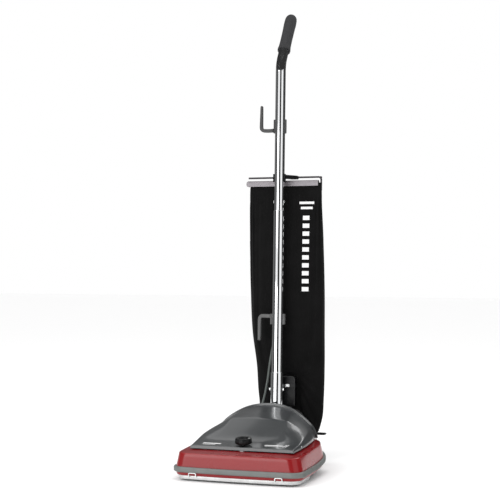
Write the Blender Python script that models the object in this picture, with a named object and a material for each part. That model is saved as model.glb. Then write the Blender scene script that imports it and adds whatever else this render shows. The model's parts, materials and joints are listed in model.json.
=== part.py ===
"""Upright vacuum cleaner: base on four wheels, tilting handle with a hung cloth bag.

Metres, +Z up. The front faces -Y, and +X is on the right of someone who looks at the front.
Shapes are written in design coordinates, whose Y is measured from the bumper's front face.
The empty "machine" moves them so that the origin is under the middle of the whole cleaner.
"""

import math

import bmesh
import bpy
from mathutils import Euler, Matrix, Vector

for old in list(bpy.data.objects):
    bpy.data.objects.remove(old, do_unlink=True)

# ---- driving dimensions ----
GAP = 0.0003
DEPTH = 0.5106
HALF_BUMPER = 0.175
HALF_BASE = 0.168
HALF_TOP = 0.159
BASE_REAR = 0.312
WALL = 0.0025
Z_PLATE = 0.005
Z_BASE = 0.0145
Z_BUMPER = 0.0225
BUMPER_TALL = 0.0138
BOW = 0.006
HOOD_FRONT = 0.0540
LEAN = 0.041
PIVOT = Vector((0.0, 0.3535, 0.100))
TUBE_LOW_R = 0.0159
TUBE_UP_R = 0.0140
TUBE_WALL = 0.0012
SLEEVE_R = 0.0176
GRIP_TILT = math.radians(35.2)
MOTOR_Y = 0.228
ROLL = Vector((0.0, 0.055, 0.026))
ROLL_HALF = 0.1483
KNOB = Vector((0.0, 0.0735, 0.0885))
KNOB_TILT = math.radians(5)
FRONT_AXLE = Vector((0.0, 0.135, 0.014))
REAR_AXLE = Vector((0.0, 0.260, 0.024))
CARRIAGE_HINGE = Vector((0.0, 0.200, 0.0195))
PEDAL = Vector((0.0, 0.325, 0.092))
BAG_TOP_Z = 0.778
LATCH_Z = 0.0094
UP = Matrix.Identity(4)
ALONG_X = Matrix.Rotation(math.radians(90), 4, "Y")
ALONG_Y = Matrix.Rotation(math.radians(-90), 4, "X")
SIDE_ON = Matrix(((0, 0, 1, 0), (1, 0, 0, 0), (0, 1, 0, 0), (0, 0, 0, 1)))
FACE_ON = Matrix(((1, 0, 0, 0), (0, 0, -1, 0), (0, 1, 0, 0), (0, 0, 0, 1)))

# ---- materials: colour, roughness, metallic ----
FINISHES = {
    "red_paint": ((0.36, 0.02, 0.03), 0.25, 0.0),
    "grey_plastic": ((0.13, 0.14, 0.145), 0.35, 0.0),
    "bumper_grey": ((0.15, 0.16, 0.155), 0.55, 0.0),
    "black_plastic": ((0.012, 0.012, 0.013), 0.45, 0.0),
    "hook_grey": ((0.20, 0.20, 0.20), 0.5, 0.0),
    "chrome": ((0.75, 0.76, 0.78), 0.08, 1.0),
    "steel": ((0.55, 0.56, 0.57), 0.35, 1.0),
    "cast_aluminium": ((0.45, 0.46, 0.47), 0.5, 1.0),
    "copper": ((0.60, 0.28, 0.14), 0.4, 1.0),
    "rubber": ((0.02, 0.02, 0.02), 0.8, 0.0),
    "foam": ((0.045, 0.045, 0.047), 0.95, 0.0),
    "cloth": ((0.010, 0.010, 0.011), 0.95, 0.0),
    "lead_grey": ((0.09, 0.10, 0.095), 0.55, 0.0),
    "bristle": ((0.03, 0.03, 0.03), 0.8, 0.0),
}


def finish(name):
    material = bpy.data.materials.get(name)
    if material is None:
        colour, roughness, metallic = FINISHES[name]
        material = bpy.data.materials.new(name)
        material.use_nodes = True
        shader = material.node_tree.nodes["Principled BSDF"]
        shader.inputs["Base Color"].default_value = (*colour, 1)
        shader.inputs["Roughness"].default_value = roughness
        shader.inputs["Metallic"].default_value = metallic
    return material


def empty(name, parent, location=(0, 0, 0), rotation=(0, 0, 0)):
    holder = bpy.data.objects.new(name, None)
    bpy.context.collection.objects.link(holder)
    holder.parent = parent
    holder.location = location
    holder.rotation_euler = rotation
    return holder


# ---- shape makers: each returns (points, faces) ----
def prism(outline, low, high, turn=UP):
    """The outline (x, y) carried from z = low to z = high, then turned."""
    count = len(outline)
    points = [Vector((x, y, z)) for z in (low, high) for x, y in outline]
    faces = [list(range(count))[::-1], list(range(count, 2 * count))]
    for i in range(count):
        j = (i + 1) % count
        faces.append([i, j, j + count, i + count])
    return [turn @ p for p in points], faces


def block(low, high):
    (x0, y0, z0), (x1, y1, z1) = low, high
    return prism([(x0, y0), (x1, y0), (x1, y1), (x0, y1)], z0, z1)


def turned(profile, steps=24, turn=UP, at=(0, 0, 0), ring=False):
    """A profile of (radius, height) spun about Z. A ring's profile closes on itself."""
    points = []
    rows = []
    for radius, height in profile:
        if radius < 1e-9:
            rows.append([len(points)] * steps)
            points.append(Vector((0, 0, height)))
            continue
        rows.append([len(points) + k for k in range(steps)])
        for k in range(steps):
            angle = 2 * math.pi * k / steps
            points.append(Vector((radius * math.cos(angle), radius * math.sin(angle), height)))
    pairs = list(zip(rows, rows[1:]))
    if ring:
        pairs.append((rows[-1], rows[0]))
    faces = []
    for low, high in pairs:
        for k in range(steps):
            n = (k + 1) % steps
            face = []
            for index in (low[k], low[n], high[n], high[k]):
                if index not in face:
                    face.append(index)
            if len(face) > 2:
                faces.append(face)
    if not ring:
        for row, flip in ((rows[0], True), (rows[-1], False)):
            if row[0] != row[1]:
                faces.append(row[::-1] if flip else row)
    return [Vector(at) + turn @ p for p in points], faces


def rod(radius, length, steps=20, turn=UP, at=(0, 0, 0)):
    """A cylinder centred on a point."""
    return turned([(radius, -length / 2), (radius, length / 2)], steps, turn, at)


def pipe(outer, inner, low, high, steps=20, turn=UP, at=(0, 0, 0)):
    profile = [(outer, low), (outer, high), (inner, high), (inner, low)]
    return turned(profile, steps, turn, at, ring=True)


def loft(rings, closed=False):
    """Rings of points with equal counts, joined in order; closed joins the last to the first."""
    count = len(rings[0])
    points = [Vector(p) for ring in rings for p in ring]
    pairs = [(i, i + 1) for i in range(len(rings) - 1)]
    if closed:
        pairs.append((len(rings) - 1, 0))
    faces = []
    for a, b in pairs:
        for k in range(count):
            n = (k + 1) % count
            faces.append([a * count + k, a * count + n, b * count + n, b * count + k])
    if not closed:
        faces.append(list(range(count))[::-1])
        faces.append([(len(rings) - 1) * count + k for k in range(count)])
    return points, faces


def shape_mesh(name, shape, about):
    points, faces = shape
    mesh = bpy.data.meshes.new(name)
    mesh.from_pydata([p - Vector(about) for p in points], [], faces)
    work = bmesh.new()
    work.from_mesh(mesh)
    bmesh.ops.recalc_face_normals(work, faces=work.faces)
    work.to_mesh(mesh)
    work.free()
    return mesh


def part(name, shape, material, parent, about=(0, 0, 0), sharp=35):
    """One object; its points are in its parent's design coordinates, its origin is at about."""
    mesh = shape_mesh(name, shape, about)
    mesh.shade_smooth()
    mesh.set_sharp_from_angle(angle=math.radians(sharp))
    mesh.materials.append(finish(material))
    made = bpy.data.objects.new(name, mesh)
    bpy.context.collection.objects.link(made)
    made.parent = parent
    made.location = about
    return made


def boolean(target, shapes, operation):
    """Cuts shapes from the target, or joins them to it. The shapes share the target's parent."""
    for number, shape in enumerate(shapes):
        helper_name = f"{target.name}_{operation.lower()}_{number}"
        mesh = shape_mesh(helper_name, shape, (0, 0, 0))
        helper = bpy.data.objects.new(helper_name, mesh)
        bpy.context.collection.objects.link(helper)
        helper.parent = target.parent
        helper.hide_render = True
        helper.display_type = "WIRE"
        modifier = target.modifiers.new(helper_name, "BOOLEAN")
        modifier.operation = operation
        modifier.object = helper


def cut(target, *shapes):
    boolean(target, shapes, "DIFFERENCE")


def add(target, *shapes):
    boolean(target, shapes, "UNION")


def smooth_path(route, count):
    """Points read at even parameter steps from a Catmull-Rom curve through the route."""
    knots = [Vector(p) for p in route]
    knots = [knots[0] * 2 - knots[1]] + knots + [knots[-1] * 2 - knots[-2]]
    spans = len(route) - 1
    points = []
    for step in range(count + 1):
        place = min(step / count * spans, spans - 1e-9)
        i = int(place)
        t = place - i
        a, b, c, d = knots[i : i + 4]
        points.append(
            0.5 * (2 * b + (c - a) * t + (2 * a - 5 * b + 4 * c - d) * t**2 + (3 * b - a - 3 * c + d) * t**3)
        )
    return points


def wire(name, points, radius, material, parent, resolution=2):
    curve = bpy.data.curves.new(name, "CURVE")
    curve.dimensions = "3D"
    curve.bevel_depth = radius
    curve.bevel_resolution = resolution
    curve.use_fill_caps = True
    spline = curve.splines.new("POLY")
    spline.points.add(len(points) - 1)
    for place, point in zip(spline.points, points):
        place.co = (*point, 1)
    curve.materials.append(finish(material))
    made = bpy.data.objects.new(name, curve)
    bpy.context.collection.objects.link(made)
    made.parent = parent
    return made


def helix(foot, radius, tall, steps):
    """Centre line of a coil spring that stands on its foot, with eight steps to a turn."""
    line = []
    for step in range(steps + 1):
        angle = 2 * math.pi * step / 8
        away = Vector((radius * math.cos(angle), radius * math.sin(angle), tall * step / steps))
        line.append(Vector(foot) + away)
    return line


def swept(points, radius_of, steps=16):
    """A round section swept along points; radius_of(t) for t from 0 to 1."""
    rings = []
    side = Vector((1, 0, 0))
    for i, point in enumerate(points):
        ahead = points[min(i + 1, len(points) - 1)] - points[max(i - 1, 0)]
        ahead.normalize()
        side = (side - ahead * side.dot(ahead)).normalized()
        other = ahead.cross(side)
        radius = radius_of(i / (len(points) - 1))
        angles = [2 * math.pi * k / steps for k in range(steps)]
        rings.append([point + radius * (math.cos(a) * side + math.sin(a) * other) for a in angles])
    return rings


def base_outline(half, front, rear, corner=0.030, round_rear=0.098):
    """The base's plan: a slightly bowed front, small front corners and large rear ones."""
    right = []
    flat = half - corner
    for share in (0.0, 0.5, 1.0):
        right.append((flat * share, front + BOW * (flat * share / half) ** 2))
    corner_y = front + BOW * (flat / half) ** 2 + corner
    for step in range(1, 5):
        angle = math.radians(-90 + 90 * step / 4)
        right.append((flat + corner * math.cos(angle), corner_y + corner * math.sin(angle)))
    right.append((half, 0.10))
    right.append((half, 0.145))
    centre = (half - round_rear, rear - round_rear)
    for step in range(9):
        angle = math.radians(90 * step / 8)
        right.append((centre[0] + round_rear * math.cos(angle), centre[1] + round_rear * math.sin(angle)))
    left = [(-x, y) for x, y in right[::-1] if x > 1e-6]
    return right + left


def ledge_z(y):
    """Height of the housing's top edge, which rises towards the rear."""
    return 0.0712 + 0.045 * min(max(y - 0.030, 0.0), 0.22)


def skirt_lift(y):
    """How far the housing's lower edge and the bumper rise towards the rear."""
    share = min(max((y - 0.165) / 0.150, 0.0), 1.0)
    return 0.020 * share * share * (3 - 2 * share)


def flat_ring(outline, z):
    return [(x, y, z) for x, y in outline]


def skirt_ring(outline, z):
    return [(x, y, z + skirt_lift(y)) for x, y in outline]


def ledge_ring(outline, lift):
    return [(x, y, ledge_z(y) + lift) for x, y in outline]


machine = empty("machine", None, (0, -DEPTH / 2, 0))

# ================= base =================


def make_housing():
    bottom = base_outline(HALF_BASE - 0.0015, 0.0065, BASE_REAR - 0.0015)
    side = base_outline(HALF_BASE, 0.0045, BASE_REAR)
    upper = base_outline(HALF_TOP + 0.0020, 0.0062, BASE_REAR - 0.004, round_rear=0.094)
    edge = base_outline(HALF_TOP, 0.0085, BASE_REAR - 0.006, round_rear=0.093)
    mouth = base_outline(0.128, 0.0555, 0.282, round_rear=0.085)
    inner_edge = base_outline(HALF_TOP - 0.0025, 0.0110, BASE_REAR - 0.009, round_rear=0.092)
    inner_side = base_outline(HALF_BASE - WALL - 0.0015, 0.0085, BASE_REAR - WALL - 0.0015)
    rings = [
        skirt_ring(bottom, Z_BASE),
        skirt_ring(side, Z_BUMPER - 0.001),
        skirt_ring(side, Z_BUMPER + BUMPER_TALL + 0.0015),
        ledge_ring(upper, -0.0022),
        ledge_ring(edge, 0.0),
        ledge_ring(mouth, 0.0025),
        ledge_ring(mouth, 0.0),
        ledge_ring(inner_edge, -0.0035),
        skirt_ring(inner_side, Z_BUMPER + BUMPER_TALL),
        skirt_ring(inner_side, Z_BASE),
    ]
    housing = part("base_housing", loft(rings, closed=True), "red_paint", machine)
    add(housing, block((0.0920, 0.2800, 0.0650), (0.0980, 0.3330, 0.0850)))
    add(housing, block((0.0920, 0.3140, 0.0750), (0.0980, 0.3330, 0.0990)))
    add(housing, block((0.0970, 0.2900, 0.0650), (0.1260, 0.3440, 0.0680)))
    cut(housing, rod(0.0034, 0.02, 12, ALONG_X, PEDAL + Vector((0.095, 0, 0))))
    cut(housing, rod(0.0180, 0.08, 20, ALONG_Y, (0.068, 0.310, 0.0595)))
    cut(housing, prism(base_outline(HALF_BASE - 0.012, 0.02, BASE_REAR - 0.012), 0.0600, 0.0700))


def make_bumper():
    """A strip along the sides and the front, open at the rear."""
    low = Z_BUMPER
    high = Z_BUMPER + BUMPER_TALL
    section = [
        (-GAP, low), (-GAP, high), (0.0045, high), (0.0064, high - 0.0040),
        (0.0064, low + 0.0040), (0.0045, low),
    ]
    path = [p for p in base_outline(HALF_BASE, 0.0045, BASE_REAR) if p[1] < 0.2750]
    middle = next(i for i, p in enumerate(path) if p[0] < 0)
    path = path[middle:] + path[:middle]
    rings = []
    for i, (x, y) in enumerate(path):
        before = Vector(path[max(i - 1, 0)])
        after = Vector(path[min(i + 1, len(path) - 1)])
        ahead = (after - before).normalized()
        out = Vector((ahead.y, -ahead.x))
        thin = 0.61 + 0.39 * abs(out.x)
        ring = []
        for o, z in section:
            away = o * thin + 2 * GAP
            ring.append((x + out.x * away, y + out.y * away, z + skirt_lift(y)))
        rings.append(ring)
    part("bumper", loft(rings), "bumper_grey", machine)


def make_bottom_plate():
    """A stamped tray under the brush chamber, with two tabs hooked up in front of the housing."""

    def tray_outline(inset):
        full = base_outline(HALF_BASE - 0.0045 - inset, 0.0065 + inset, BASE_REAR)
        front = [(x, y) for x, y in full if y < 0.09]
        right = [p for p in front if p[0] >= 0]
        left = [p for p in front if p[0] < 0]
        back = 0.112 - inset
        return right + [(right[-1][0], back), (-right[-1][0], back)] + left

    outer = tray_outline(0.0)
    inner = tray_outline(0.0014)
    top = Z_BASE - GAP
    rings = [
        flat_ring(outer, Z_PLATE),
        flat_ring(outer, top),
        flat_ring(inner, top),
        flat_ring(inner, Z_PLATE + 0.0014),
    ]
    plate = part("bottom_plate", loft(rings), "steel", machine)
    cut(plate, block((-0.151, 0.0265, 0), (0.151, 0.086, 0.02)))
    tab_y = 0.0055
    for side in (-1, 1):
        x = side * 0.114
        add(plate, block((x - 0.0105, tab_y, 0.0120), (x + 0.0105, 0.0112, top)))
        add(plate, block((x - 0.0105, tab_y, 0.0122), (x + 0.0105, tab_y + 0.0012, 0.0218)))
        cut(plate, block((x - 0.0072, tab_y - 0.002, Z_BASE + 0.001), (x + 0.0072, tab_y + 0.0016, 0.0195)))
        slot = sorted((side * 0.1015, side * 0.1340))
        cut(plate, block((slot[0], 0.1080, 0.0078), (slot[1], 0.1150, 0.0111)))


def make_latches():
    """Two levers under the housing, whose tips hold the plate through slots in its rear wall."""
    for name, side in (("plate_latch_left", -1), ("plate_latch_right", 1)):
        pin = Vector((side * 0.110, 0.121, 0))
        half = [(0.006, -0.016), (0.008, 0.0), (0.006, 0.006)]
        outline = [(pin.x + x, pin.y + y) for x, y in half]
        outline += [(pin.x - x, pin.y + y) for x, y in half[::-1]]
        latch = part(name, prism(outline, LATCH_Z - 0.0009, LATCH_Z + 0.0009), "steel", machine, pin)
        add(latch, rod(0.003, 0.0276, 12, UP, (pin.x, pin.y, 0.0218)))


def make_chassis():
    """The inner pan: a ceiling over the brush chamber, a step down, and the deck for the motor."""
    thick = 0.0025
    profile = [
        (0.020, 0.056), (0.1145, 0.056), (0.1145, 0.036), (0.300, 0.036),
        (0.300, 0.036 + thick), (0.117, 0.036 + thick), (0.117, 0.056 + thick), (0.020, 0.056 + thick),
    ]
    pan = part("chassis", prism(profile, -0.17, 0.17, SIDE_ON), "cast_aluminium", machine)
    bounds = prism(base_outline(0.150, 0.024, 0.301, round_rear=0.114), 0.03, 0.07)
    boolean(pan, [bounds], "INTERSECT")
    shapes = [
        rod(0.022, 0.02, 20, UP, (0, MOTOR_Y, 0.037)),
        block((-0.014, 0.110, 0.030), (0.014, 0.150, 0.050)),
        block((0.010, 0.116, 0.030), (0.030, 0.152, 0.050)),
        block((-0.0375, 0.140, 0.030), (-0.0225, 0.160, 0.050)),
    ]
    for side in (-1, 1):
        x = side * 0.107
        shapes.append(block((x - 0.010, 0.232, 0.030), (x + 0.010, 0.288, 0.050)))
        x = side * 0.085
        shapes.append(block((x - 0.010, 0.119, 0.030), (x + 0.010, 0.156, 0.050)))
        shapes.append(rod(0.0034, 0.02, 12, UP, (side * 0.110, 0.121, 0.037)))
    cut(pan, *shapes)
    for side in (-1, 1):
        x = side * 0.062
        add(pan, block((x - 0.003, 0.252, 0.0185), (x + 0.003, 0.268, 0.0365)))
        x = side * 0.0765
        add(pan, block((x - 0.002, 0.194, 0.0150), (x + 0.002, 0.206, 0.0365)))
    cut(pan, rod(0.0028, 0.2, 12, ALONG_X, REAR_AXLE))
    for side in (-1, 1):
        add(pan, rod(0.0018, 0.0160, 12, ALONG_X, CARRIAGE_HINGE + Vector((side * 0.0700, 0, 0))))


def hood_rows():
    """Cross rows of the hood from its front lip to its rear edge, right edge to centre."""
    lip_foot = ledge_z(HOOD_FRONT) + 0.0045
    rows = [[Vector((x, HOOD_FRONT, lip_foot)) for x in (0.1390, 0.1385, 0.1350, 0.1240, 0.098, 0.05, 0.0)]]
    # each row: y, foot x, height of the upright foot, then (x, z) of the points up to the middle
    table = [
        (0.0550, 0.1390, 0.0070, (0.1350, 0.0850), (0.1240, 0.0852),
         (0.098, 0.0853), (0.050, 0.0854), (0, 0.0854)),
        (0.0790, 0.1410, 0.0065, (0.1375, 0.0882), (0.1250, 0.0888),
         (0.098, 0.0890), (0.050, 0.0890), (0, 0.0890)),
        (0.1030, 0.1430, 0.0070, (0.1390, 0.0915), (0.1250, 0.0922),
         (0.096, 0.0925), (0.050, 0.0925), (0, 0.0925)),
        (0.1250, 0.1445, 0.0075, (0.1395, 0.0960), (0.1210, 0.0995),
         (0.092, 0.1010), (0.048, 0.1000), (0, 0.0998)),
        (0.1500, 0.1455, 0.0080, (0.1390, 0.1015), (0.1150, 0.1090),
         (0.086, 0.1135), (0.045, 0.1155), (0, 0.1162)),
        (0.1750, 0.1455, 0.0085, (0.1375, 0.1055), (0.1120, 0.1155),
         (0.080, 0.1275), (0.042, 0.1305), (0, 0.1314)),
        (0.1945, 0.1450, 0.0090, (0.1355, 0.1085), (0.1110, 0.1195),
         (0.077, 0.1393), (0.040, 0.1418), (0, 0.1424)),
        (0.2300, 0.1425, 0.0090, (0.1325, 0.1125), (0.1110, 0.1260),
         (0.074, 0.1452), (0.038, 0.1502), (0, 0.1522)),
    ]
    for y, foot_x, rise, *upper in table:
        foot = ledge_z(y) + 0.0045
        row = [Vector((foot_x, y, foot)), Vector((foot_x - 0.0008, y, foot + rise))]
        rows.append(row + [Vector((x, y, z)) for x, z in upper])
    rear_foot = ledge_z(0.27) + 0.0045
    rows.append([
        Vector((0.1340, 0.272, rear_foot)), Vector((0.1330, 0.270, rear_foot + 0.009)),
        Vector((0.1250, 0.268, 0.1130)), Vector((0.1080, 0.268, 0.1310)),
        Vector((0.0690, 0.282, 0.1545)), Vector((0.0380, 0.292, 0.1625)), Vector((0, 0.296, 0.1662)),
    ])
    return rows


def mirrored(row):
    return row + [Vector((-p.x, p.y, p.z)) for p in row[-2::-1]]


def raised(row, lift, back):
    """The row pushed outward from the middle of the hood by lift, and moved back."""
    centre = Vector((0, 0, 0.075))
    moved = []
    for point in row:
        out = Vector((point.x, 0, point.z - centre.z)).normalized()
        moved.append(point + lift * out + Vector((0, back, 0)))
    return moved


def make_hood():
    rows = hood_rows()
    last = rows[-1]
    foot = last[0].z
    rim = [raised(last, 0.0062, 0.0), raised(last, 0.0062, 0.005), raised(last, -0.0005, 0.005)]
    for row in rim:
        row[0].z = foot
    outer = [mirrored(row) for row in rows + rim]
    wall = 0.0028
    inner = [mirrored([Vector((min(p.x, 0.136), HOOD_FRONT + wall, p.z)) for p in rows[0]])]
    for row in rows[1:3]:
        lowered = []
        for p in row:
            lowered.append(Vector((min(p.x, 0.136), max(p.y, HOOD_FRONT + wall + 0.0005), p.z - wall)))
        lowered[0].z = row[0].z
        lowered[1].z = (row[0].z + row[1].z) / 2 - 0.001
        inner.append(mirrored(lowered))
    for row, back in [(row, 0.0) for row in rows[3:]] + [(last, 0.0012), (last, 0.0030), (last, 0.005)]:
        lowered = raised(row, -wall, back)
        lowered[0].z = row[0].z
        inner.append(mirrored(lowered))
    columns = len(outer[0])
    shift = len(outer) * columns
    points = [p for grid in (outer, inner) for row in grid for p in row]
    faces = []
    for r in range(len(outer) - 1):
        for c in range(columns - 1):
            a = r * columns + c
            b = a + shift
            faces.append([a, a + 1, a + columns + 1, a + columns])
            faces.append([b, b + columns, b + columns + 1, b + 1])
    border = list(range(columns))
    border += [r * columns + columns - 1 for r in range(1, len(outer))]
    border += [(len(outer) - 1) * columns + c for c in range(columns - 2, -1, -1)]
    border += [r * columns for r in range(len(outer) - 2, 0, -1)]
    for here, there in zip(border, border[1:] + border[:1]):
        faces.append([here, there, there + shift, here + shift])
    hood = part("hood", (points, faces), "grey_plastic", machine, sharp=25)
    axis = Matrix.Rotation(KNOB_TILT, 4, "X")
    cut(hood, rod(0.0052, 0.03, 16, axis, KNOB - Vector((0, 0, 0.004))))


def hood_inside(x):
    """(y, z) of the hood's inner surface at its rear edge, at the distance x from the middle."""
    row = hood_rows()[-1][1:]
    for outer, inner in zip(row, row[1:]):
        if inner.x <= x <= outer.x:
            share = (x - inner.x) / (outer.x - inner.x)
            return inner.y + share * (outer.y - inner.y), inner.z + share * (outer.z - inner.z)
    return row[0].y, row[0].z


def make_rear_cover():
    """A curved vented panel closing the back of the hood."""
    half = 0.112
    count = 16
    front = []
    for i in range(count + 1):
        x = -half + 2 * half * i / count
        y, z = hood_inside(abs(x))
        front.append((x, y - 0.006, ledge_z(0.27) + 0.005, z - 0.0052))
    points = []
    faces = []
    for x, y, low, high in front:
        points += [Vector((x, y, low)), Vector((x, y, high))]
        points += [Vector((x, y - WALL, high)), Vector((x, y - WALL, low))]
    for i in range(count):
        for k in range(4):
            n = (k + 1) % 4
            faces.append([4 * i + k, 4 * i + n, 4 * i + 4 + n, 4 * i + 4 + k])
    faces += [[3, 2, 1, 0], [4 * count + k for k in range(4)]]
    cover = part("rear_cover", (points, faces), "black_plastic", machine)
    slots = []
    for i in range(9):
        x = 0.009 * (i - 4)
        slots.append(block((x - 0.0017, 0.26, 0.122), (x + 0.0017, 0.30, 0.142)))
    cut(cover, *slots)


def make_exhaust():
    route = smooth_path(
        [(0.068, 0.2835, 0.0595), (0.068, 0.330, 0.0595), (0.068, 0.358, 0.068), (0.068, 0.371, 0.0895)], 8
    )
    outer = swept(route, lambda t: 0.0165, 16)
    inner = swept(route, lambda t: 0.0145, 16)
    part("exhaust_elbow", loft(outer + inner[::-1], closed=True), "black_plastic", machine)


def make_bracket():
    """Two arms behind the base that carry the handle's pivot pin."""
    body = block((-0.0445, 0.2945, ledge_z(0.3) + 0.0035), (0.0445, 0.3085, 0.108))
    bracket = part("handle_bracket", body, "cast_aluminium", machine)
    z = PIVOT.z
    for side in (-1, 1):
        low = 0.0360 if side > 0 else -0.0445
        arm = [(0.2955, 0.0935), (PIVOT.y, 0.0860), (PIVOT.y + 0.010, 0.0902), (PIVOT.y + 0.014, z)]
        arm += [(PIVOT.y + 0.010, 0.1098), (PIVOT.y, 0.114), (0.2955, 0.1079)]
        add(bracket, prism(arm, low, low + 0.0085, SIDE_ON))
    cut(bracket, rod(0.0044, 0.2, 16, ALONG_X, PIVOT))
    pin = part("pivot_pin", rod(0.0040, 0.0960, 16, ALONG_X, PIVOT), "steel", machine)
    add(pin, rod(0.0065, 0.003, 16, ALONG_X, PIVOT + Vector((0.0468, 0, 0))))
    add(pin, rod(0.0065, 0.003, 16, ALONG_X, PIVOT - Vector((0.0468, 0, 0))))


def make_lead_gland():
    """A stepped rubber bush in the rear cover, where the motor lead goes in."""
    at = (-0.056, 0.2760, 0.112)
    profile = [(0.0075, 0.0095), (0.0075, 0.0125), (0.0055, 0.024), (0.0037, 0.024), (0.0037, 0.0095)]
    part("lead_gland", turned(profile[::-1], 14, ALONG_Y, at, ring=True), "rubber", machine)


make_housing()
make_bumper()
make_bottom_plate()
make_latches()
make_chassis()
make_hood()
make_rear_cover()
make_exhaust()
make_bracket()
make_lead_gland()

# ================= motor, fan and brush roll =================


def make_motor():
    axis = (0, MOTOR_Y, 0)
    casing = [
        (0.0460, 0.0706), (0.0460, 0.1180), (0.0220, 0.1340), (0.0220, 0.1395), (0.0060, 0.1395),
        (0.0060, 0.1375), (0.0112, 0.1375), (0.0112, 0.1330), (0.0195, 0.1315), (0.0437, 0.1168),
        (0.0437, 0.0785), (0.0114, 0.0785), (0.0114, 0.0706),
    ]
    part("motor_frame", turned(casing, 20, UP, axis, ring=True), "cast_aluminium", machine)
    stator = part("stator", pipe(0.0433, 0.0280, 0.080, 0.112, 20, UP, axis), "steel", machine)
    for side in (-1, 1):
        x = side * 0.031
        add(stator, block((x - 0.004, MOTOR_Y - 0.014, 0.0788), (x + 0.004, MOTOR_Y + 0.014, 0.1155)))
    fan_case = [
        (0.0600, 0.0388), (0.0600, 0.0702), (0.0080, 0.0702), (0.0080, 0.0682),
        (0.0580, 0.0682), (0.0580, 0.0408), (0.0230, 0.0408), (0.0230, 0.0388),
    ]
    case = part("fan_housing", turned(fan_case, 22, UP, axis, ring=True), "cast_aluminium", machine)
    cut(case, block((0.030, 0.250, 0.046), (0.070, 0.290, 0.066)))
    for name, low in (("bearing_lower", 0.0712), ("bearing_upper", 0.1312)):
        part(name, pipe(0.0108, 0.0044, low, low + 0.0058, 20, UP, axis), "steel", machine)
    for name, side in (("brush_holder_left", -1), ("brush_holder_right", 1)):
        low = min(side * 0.0130, side * 0.0290)
        holder = block((low, MOTOR_Y - 0.0045, 0.1180), (low + 0.016, MOTOR_Y + 0.0045, 0.1252))
        part(name, holder, "black_plastic", machine)


def make_rotor():
    spin = empty("motor_spin_axis", machine, (0, MOTOR_Y, 0))
    shaft = [
        (0.0, 0.0215), (0.0098, 0.0215), (0.0098, 0.0232), (0.0058, 0.0262), (0.0058, 0.0300),
        (0.0098, 0.0330), (0.0098, 0.0346), (0.0040, 0.0360), (0.0040, 0.1385), (0.0, 0.1385),
    ]
    part("motor_shaft", turned(shaft, 18), "steel", spin)
    part("armature", pipe(0.0262, 0.0043, 0.0805, 0.1140, 24), "copper", spin)
    part("commutator", pipe(0.0125, 0.0043, 0.1165, 0.1265, 20), "copper", spin)
    fan = part("fan", pipe(0.0130, 0.0043, 0.0440, 0.0660, 20), "grey_plastic", spin)
    add(fan, pipe(0.0540, 0.0120, 0.0640, 0.0660, 20))
    for number in range(6):
        turn = Matrix.Rotation(2 * math.pi * number / 6, 4, "Z")
        blade = [(0.012, -0.001), (0.034, -0.003), (0.053, -0.012)]
        blade += [(0.0535, -0.0095), (0.034, 0.0), (0.012, 0.001)]
        add(fan, prism(blade, 0.0450, 0.0650, turn))


def make_brush_roll():
    """A wooden roll with two spiral brush rows and a groove in the middle for the belt."""
    core = 0.0165
    tip = 0.0235
    groove = 0.0125
    places = [-ROLL_HALF + 0.001 + (ROLL_HALF - 0.012) * k / 9 for k in range(10)]
    places += [-0.0095, 0.0095]
    places += [-x for x in places[9::-1]]
    rings = []
    for x in places:
        twist = math.radians(150) * (x / ROLL_HALF)
        in_groove = abs(x) < 0.010
        ring = []
        for row in range(2):
            for degrees in (-12, -7, 7, 12, 36, 63, 90, 117, 144):
                radius = tip if abs(degrees) == 7 else core
                if in_groove:
                    radius = groove
                angle = twist + math.radians(degrees + 180 * row)
                ring.append(ROLL + Vector((x, radius * math.cos(angle), radius * math.sin(angle))))
        rings.append(ring)
    part("brush_roll", loft(rings), "bristle", machine, ROLL)
    for name, side in (("roll_cap_left", -1), ("roll_cap_right", 1)):
        at = ROLL + Vector((side * 0.1548, 0, 0))
        part(name, rod(0.0175, 0.0105, 20, ALONG_X, at), "black_plastic", machine)


def make_belt():
    """A round belt that turns a quarter between the upright shaft and the level roll."""
    thick = 0.0022
    drive = 0.0058 + thick + GAP
    driven = 0.0125 + thick + 2 * GAP
    level = 0.0281

    def run(share, side):
        """A point of the free belt between the pulleys, on the returning (-1) or pulling (1) side."""
        x = side * drive * (1 - share) ** 1.5
        y = MOTOR_Y + (ROLL.y - MOTOR_Y) * share
        z = level + (ROLL.z - side * driven - level) * share**1.4
        return Vector((x, y, z))

    points = []
    for step in range(9):
        angle = math.radians(180 * step / 8)
        points.append(Vector((drive * math.cos(angle), MOTOR_Y + drive * math.sin(angle), level)))
    points += [run(share, -1) for share in (0.25, 0.5, 0.75)]
    for step in range(9):
        angle = math.radians(90 + 180 * step / 8)
        points.append(Vector((0, ROLL.y + driven * math.cos(angle), ROLL.z + driven * math.sin(angle))))
    points += [run(share, 1) for share in (0.75, 0.5, 0.25)]
    rings = []
    count = len(points)
    slant = Vector((1, 0, 1))
    for i, point in enumerate(points):
        ahead = (points[(i + 1) % count] - points[i - 1]).normalized()
        normal = (slant - ahead * slant.dot(ahead)).normalized()
        other = ahead.cross(normal)
        angles = [2 * math.pi * k / 8 for k in range(8)]
        rings.append([point + thick * (math.cos(a) * normal + math.sin(a) * other) for a in angles])
    part("drive_belt", loft(rings, closed=True), "rubber", machine)


# ================= wheels and height setting =================


def wheel_shape(radius, width, bore, at):
    half = width / 2
    profile = [
        (radius - 0.002, -half), (radius, -half + 0.002), (radius, half - 0.002), (radius - 0.002, half),
        (bore, half), (bore, -half),
    ]
    return turned(profile, 22, ALONG_X, at, ring=True)


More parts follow.
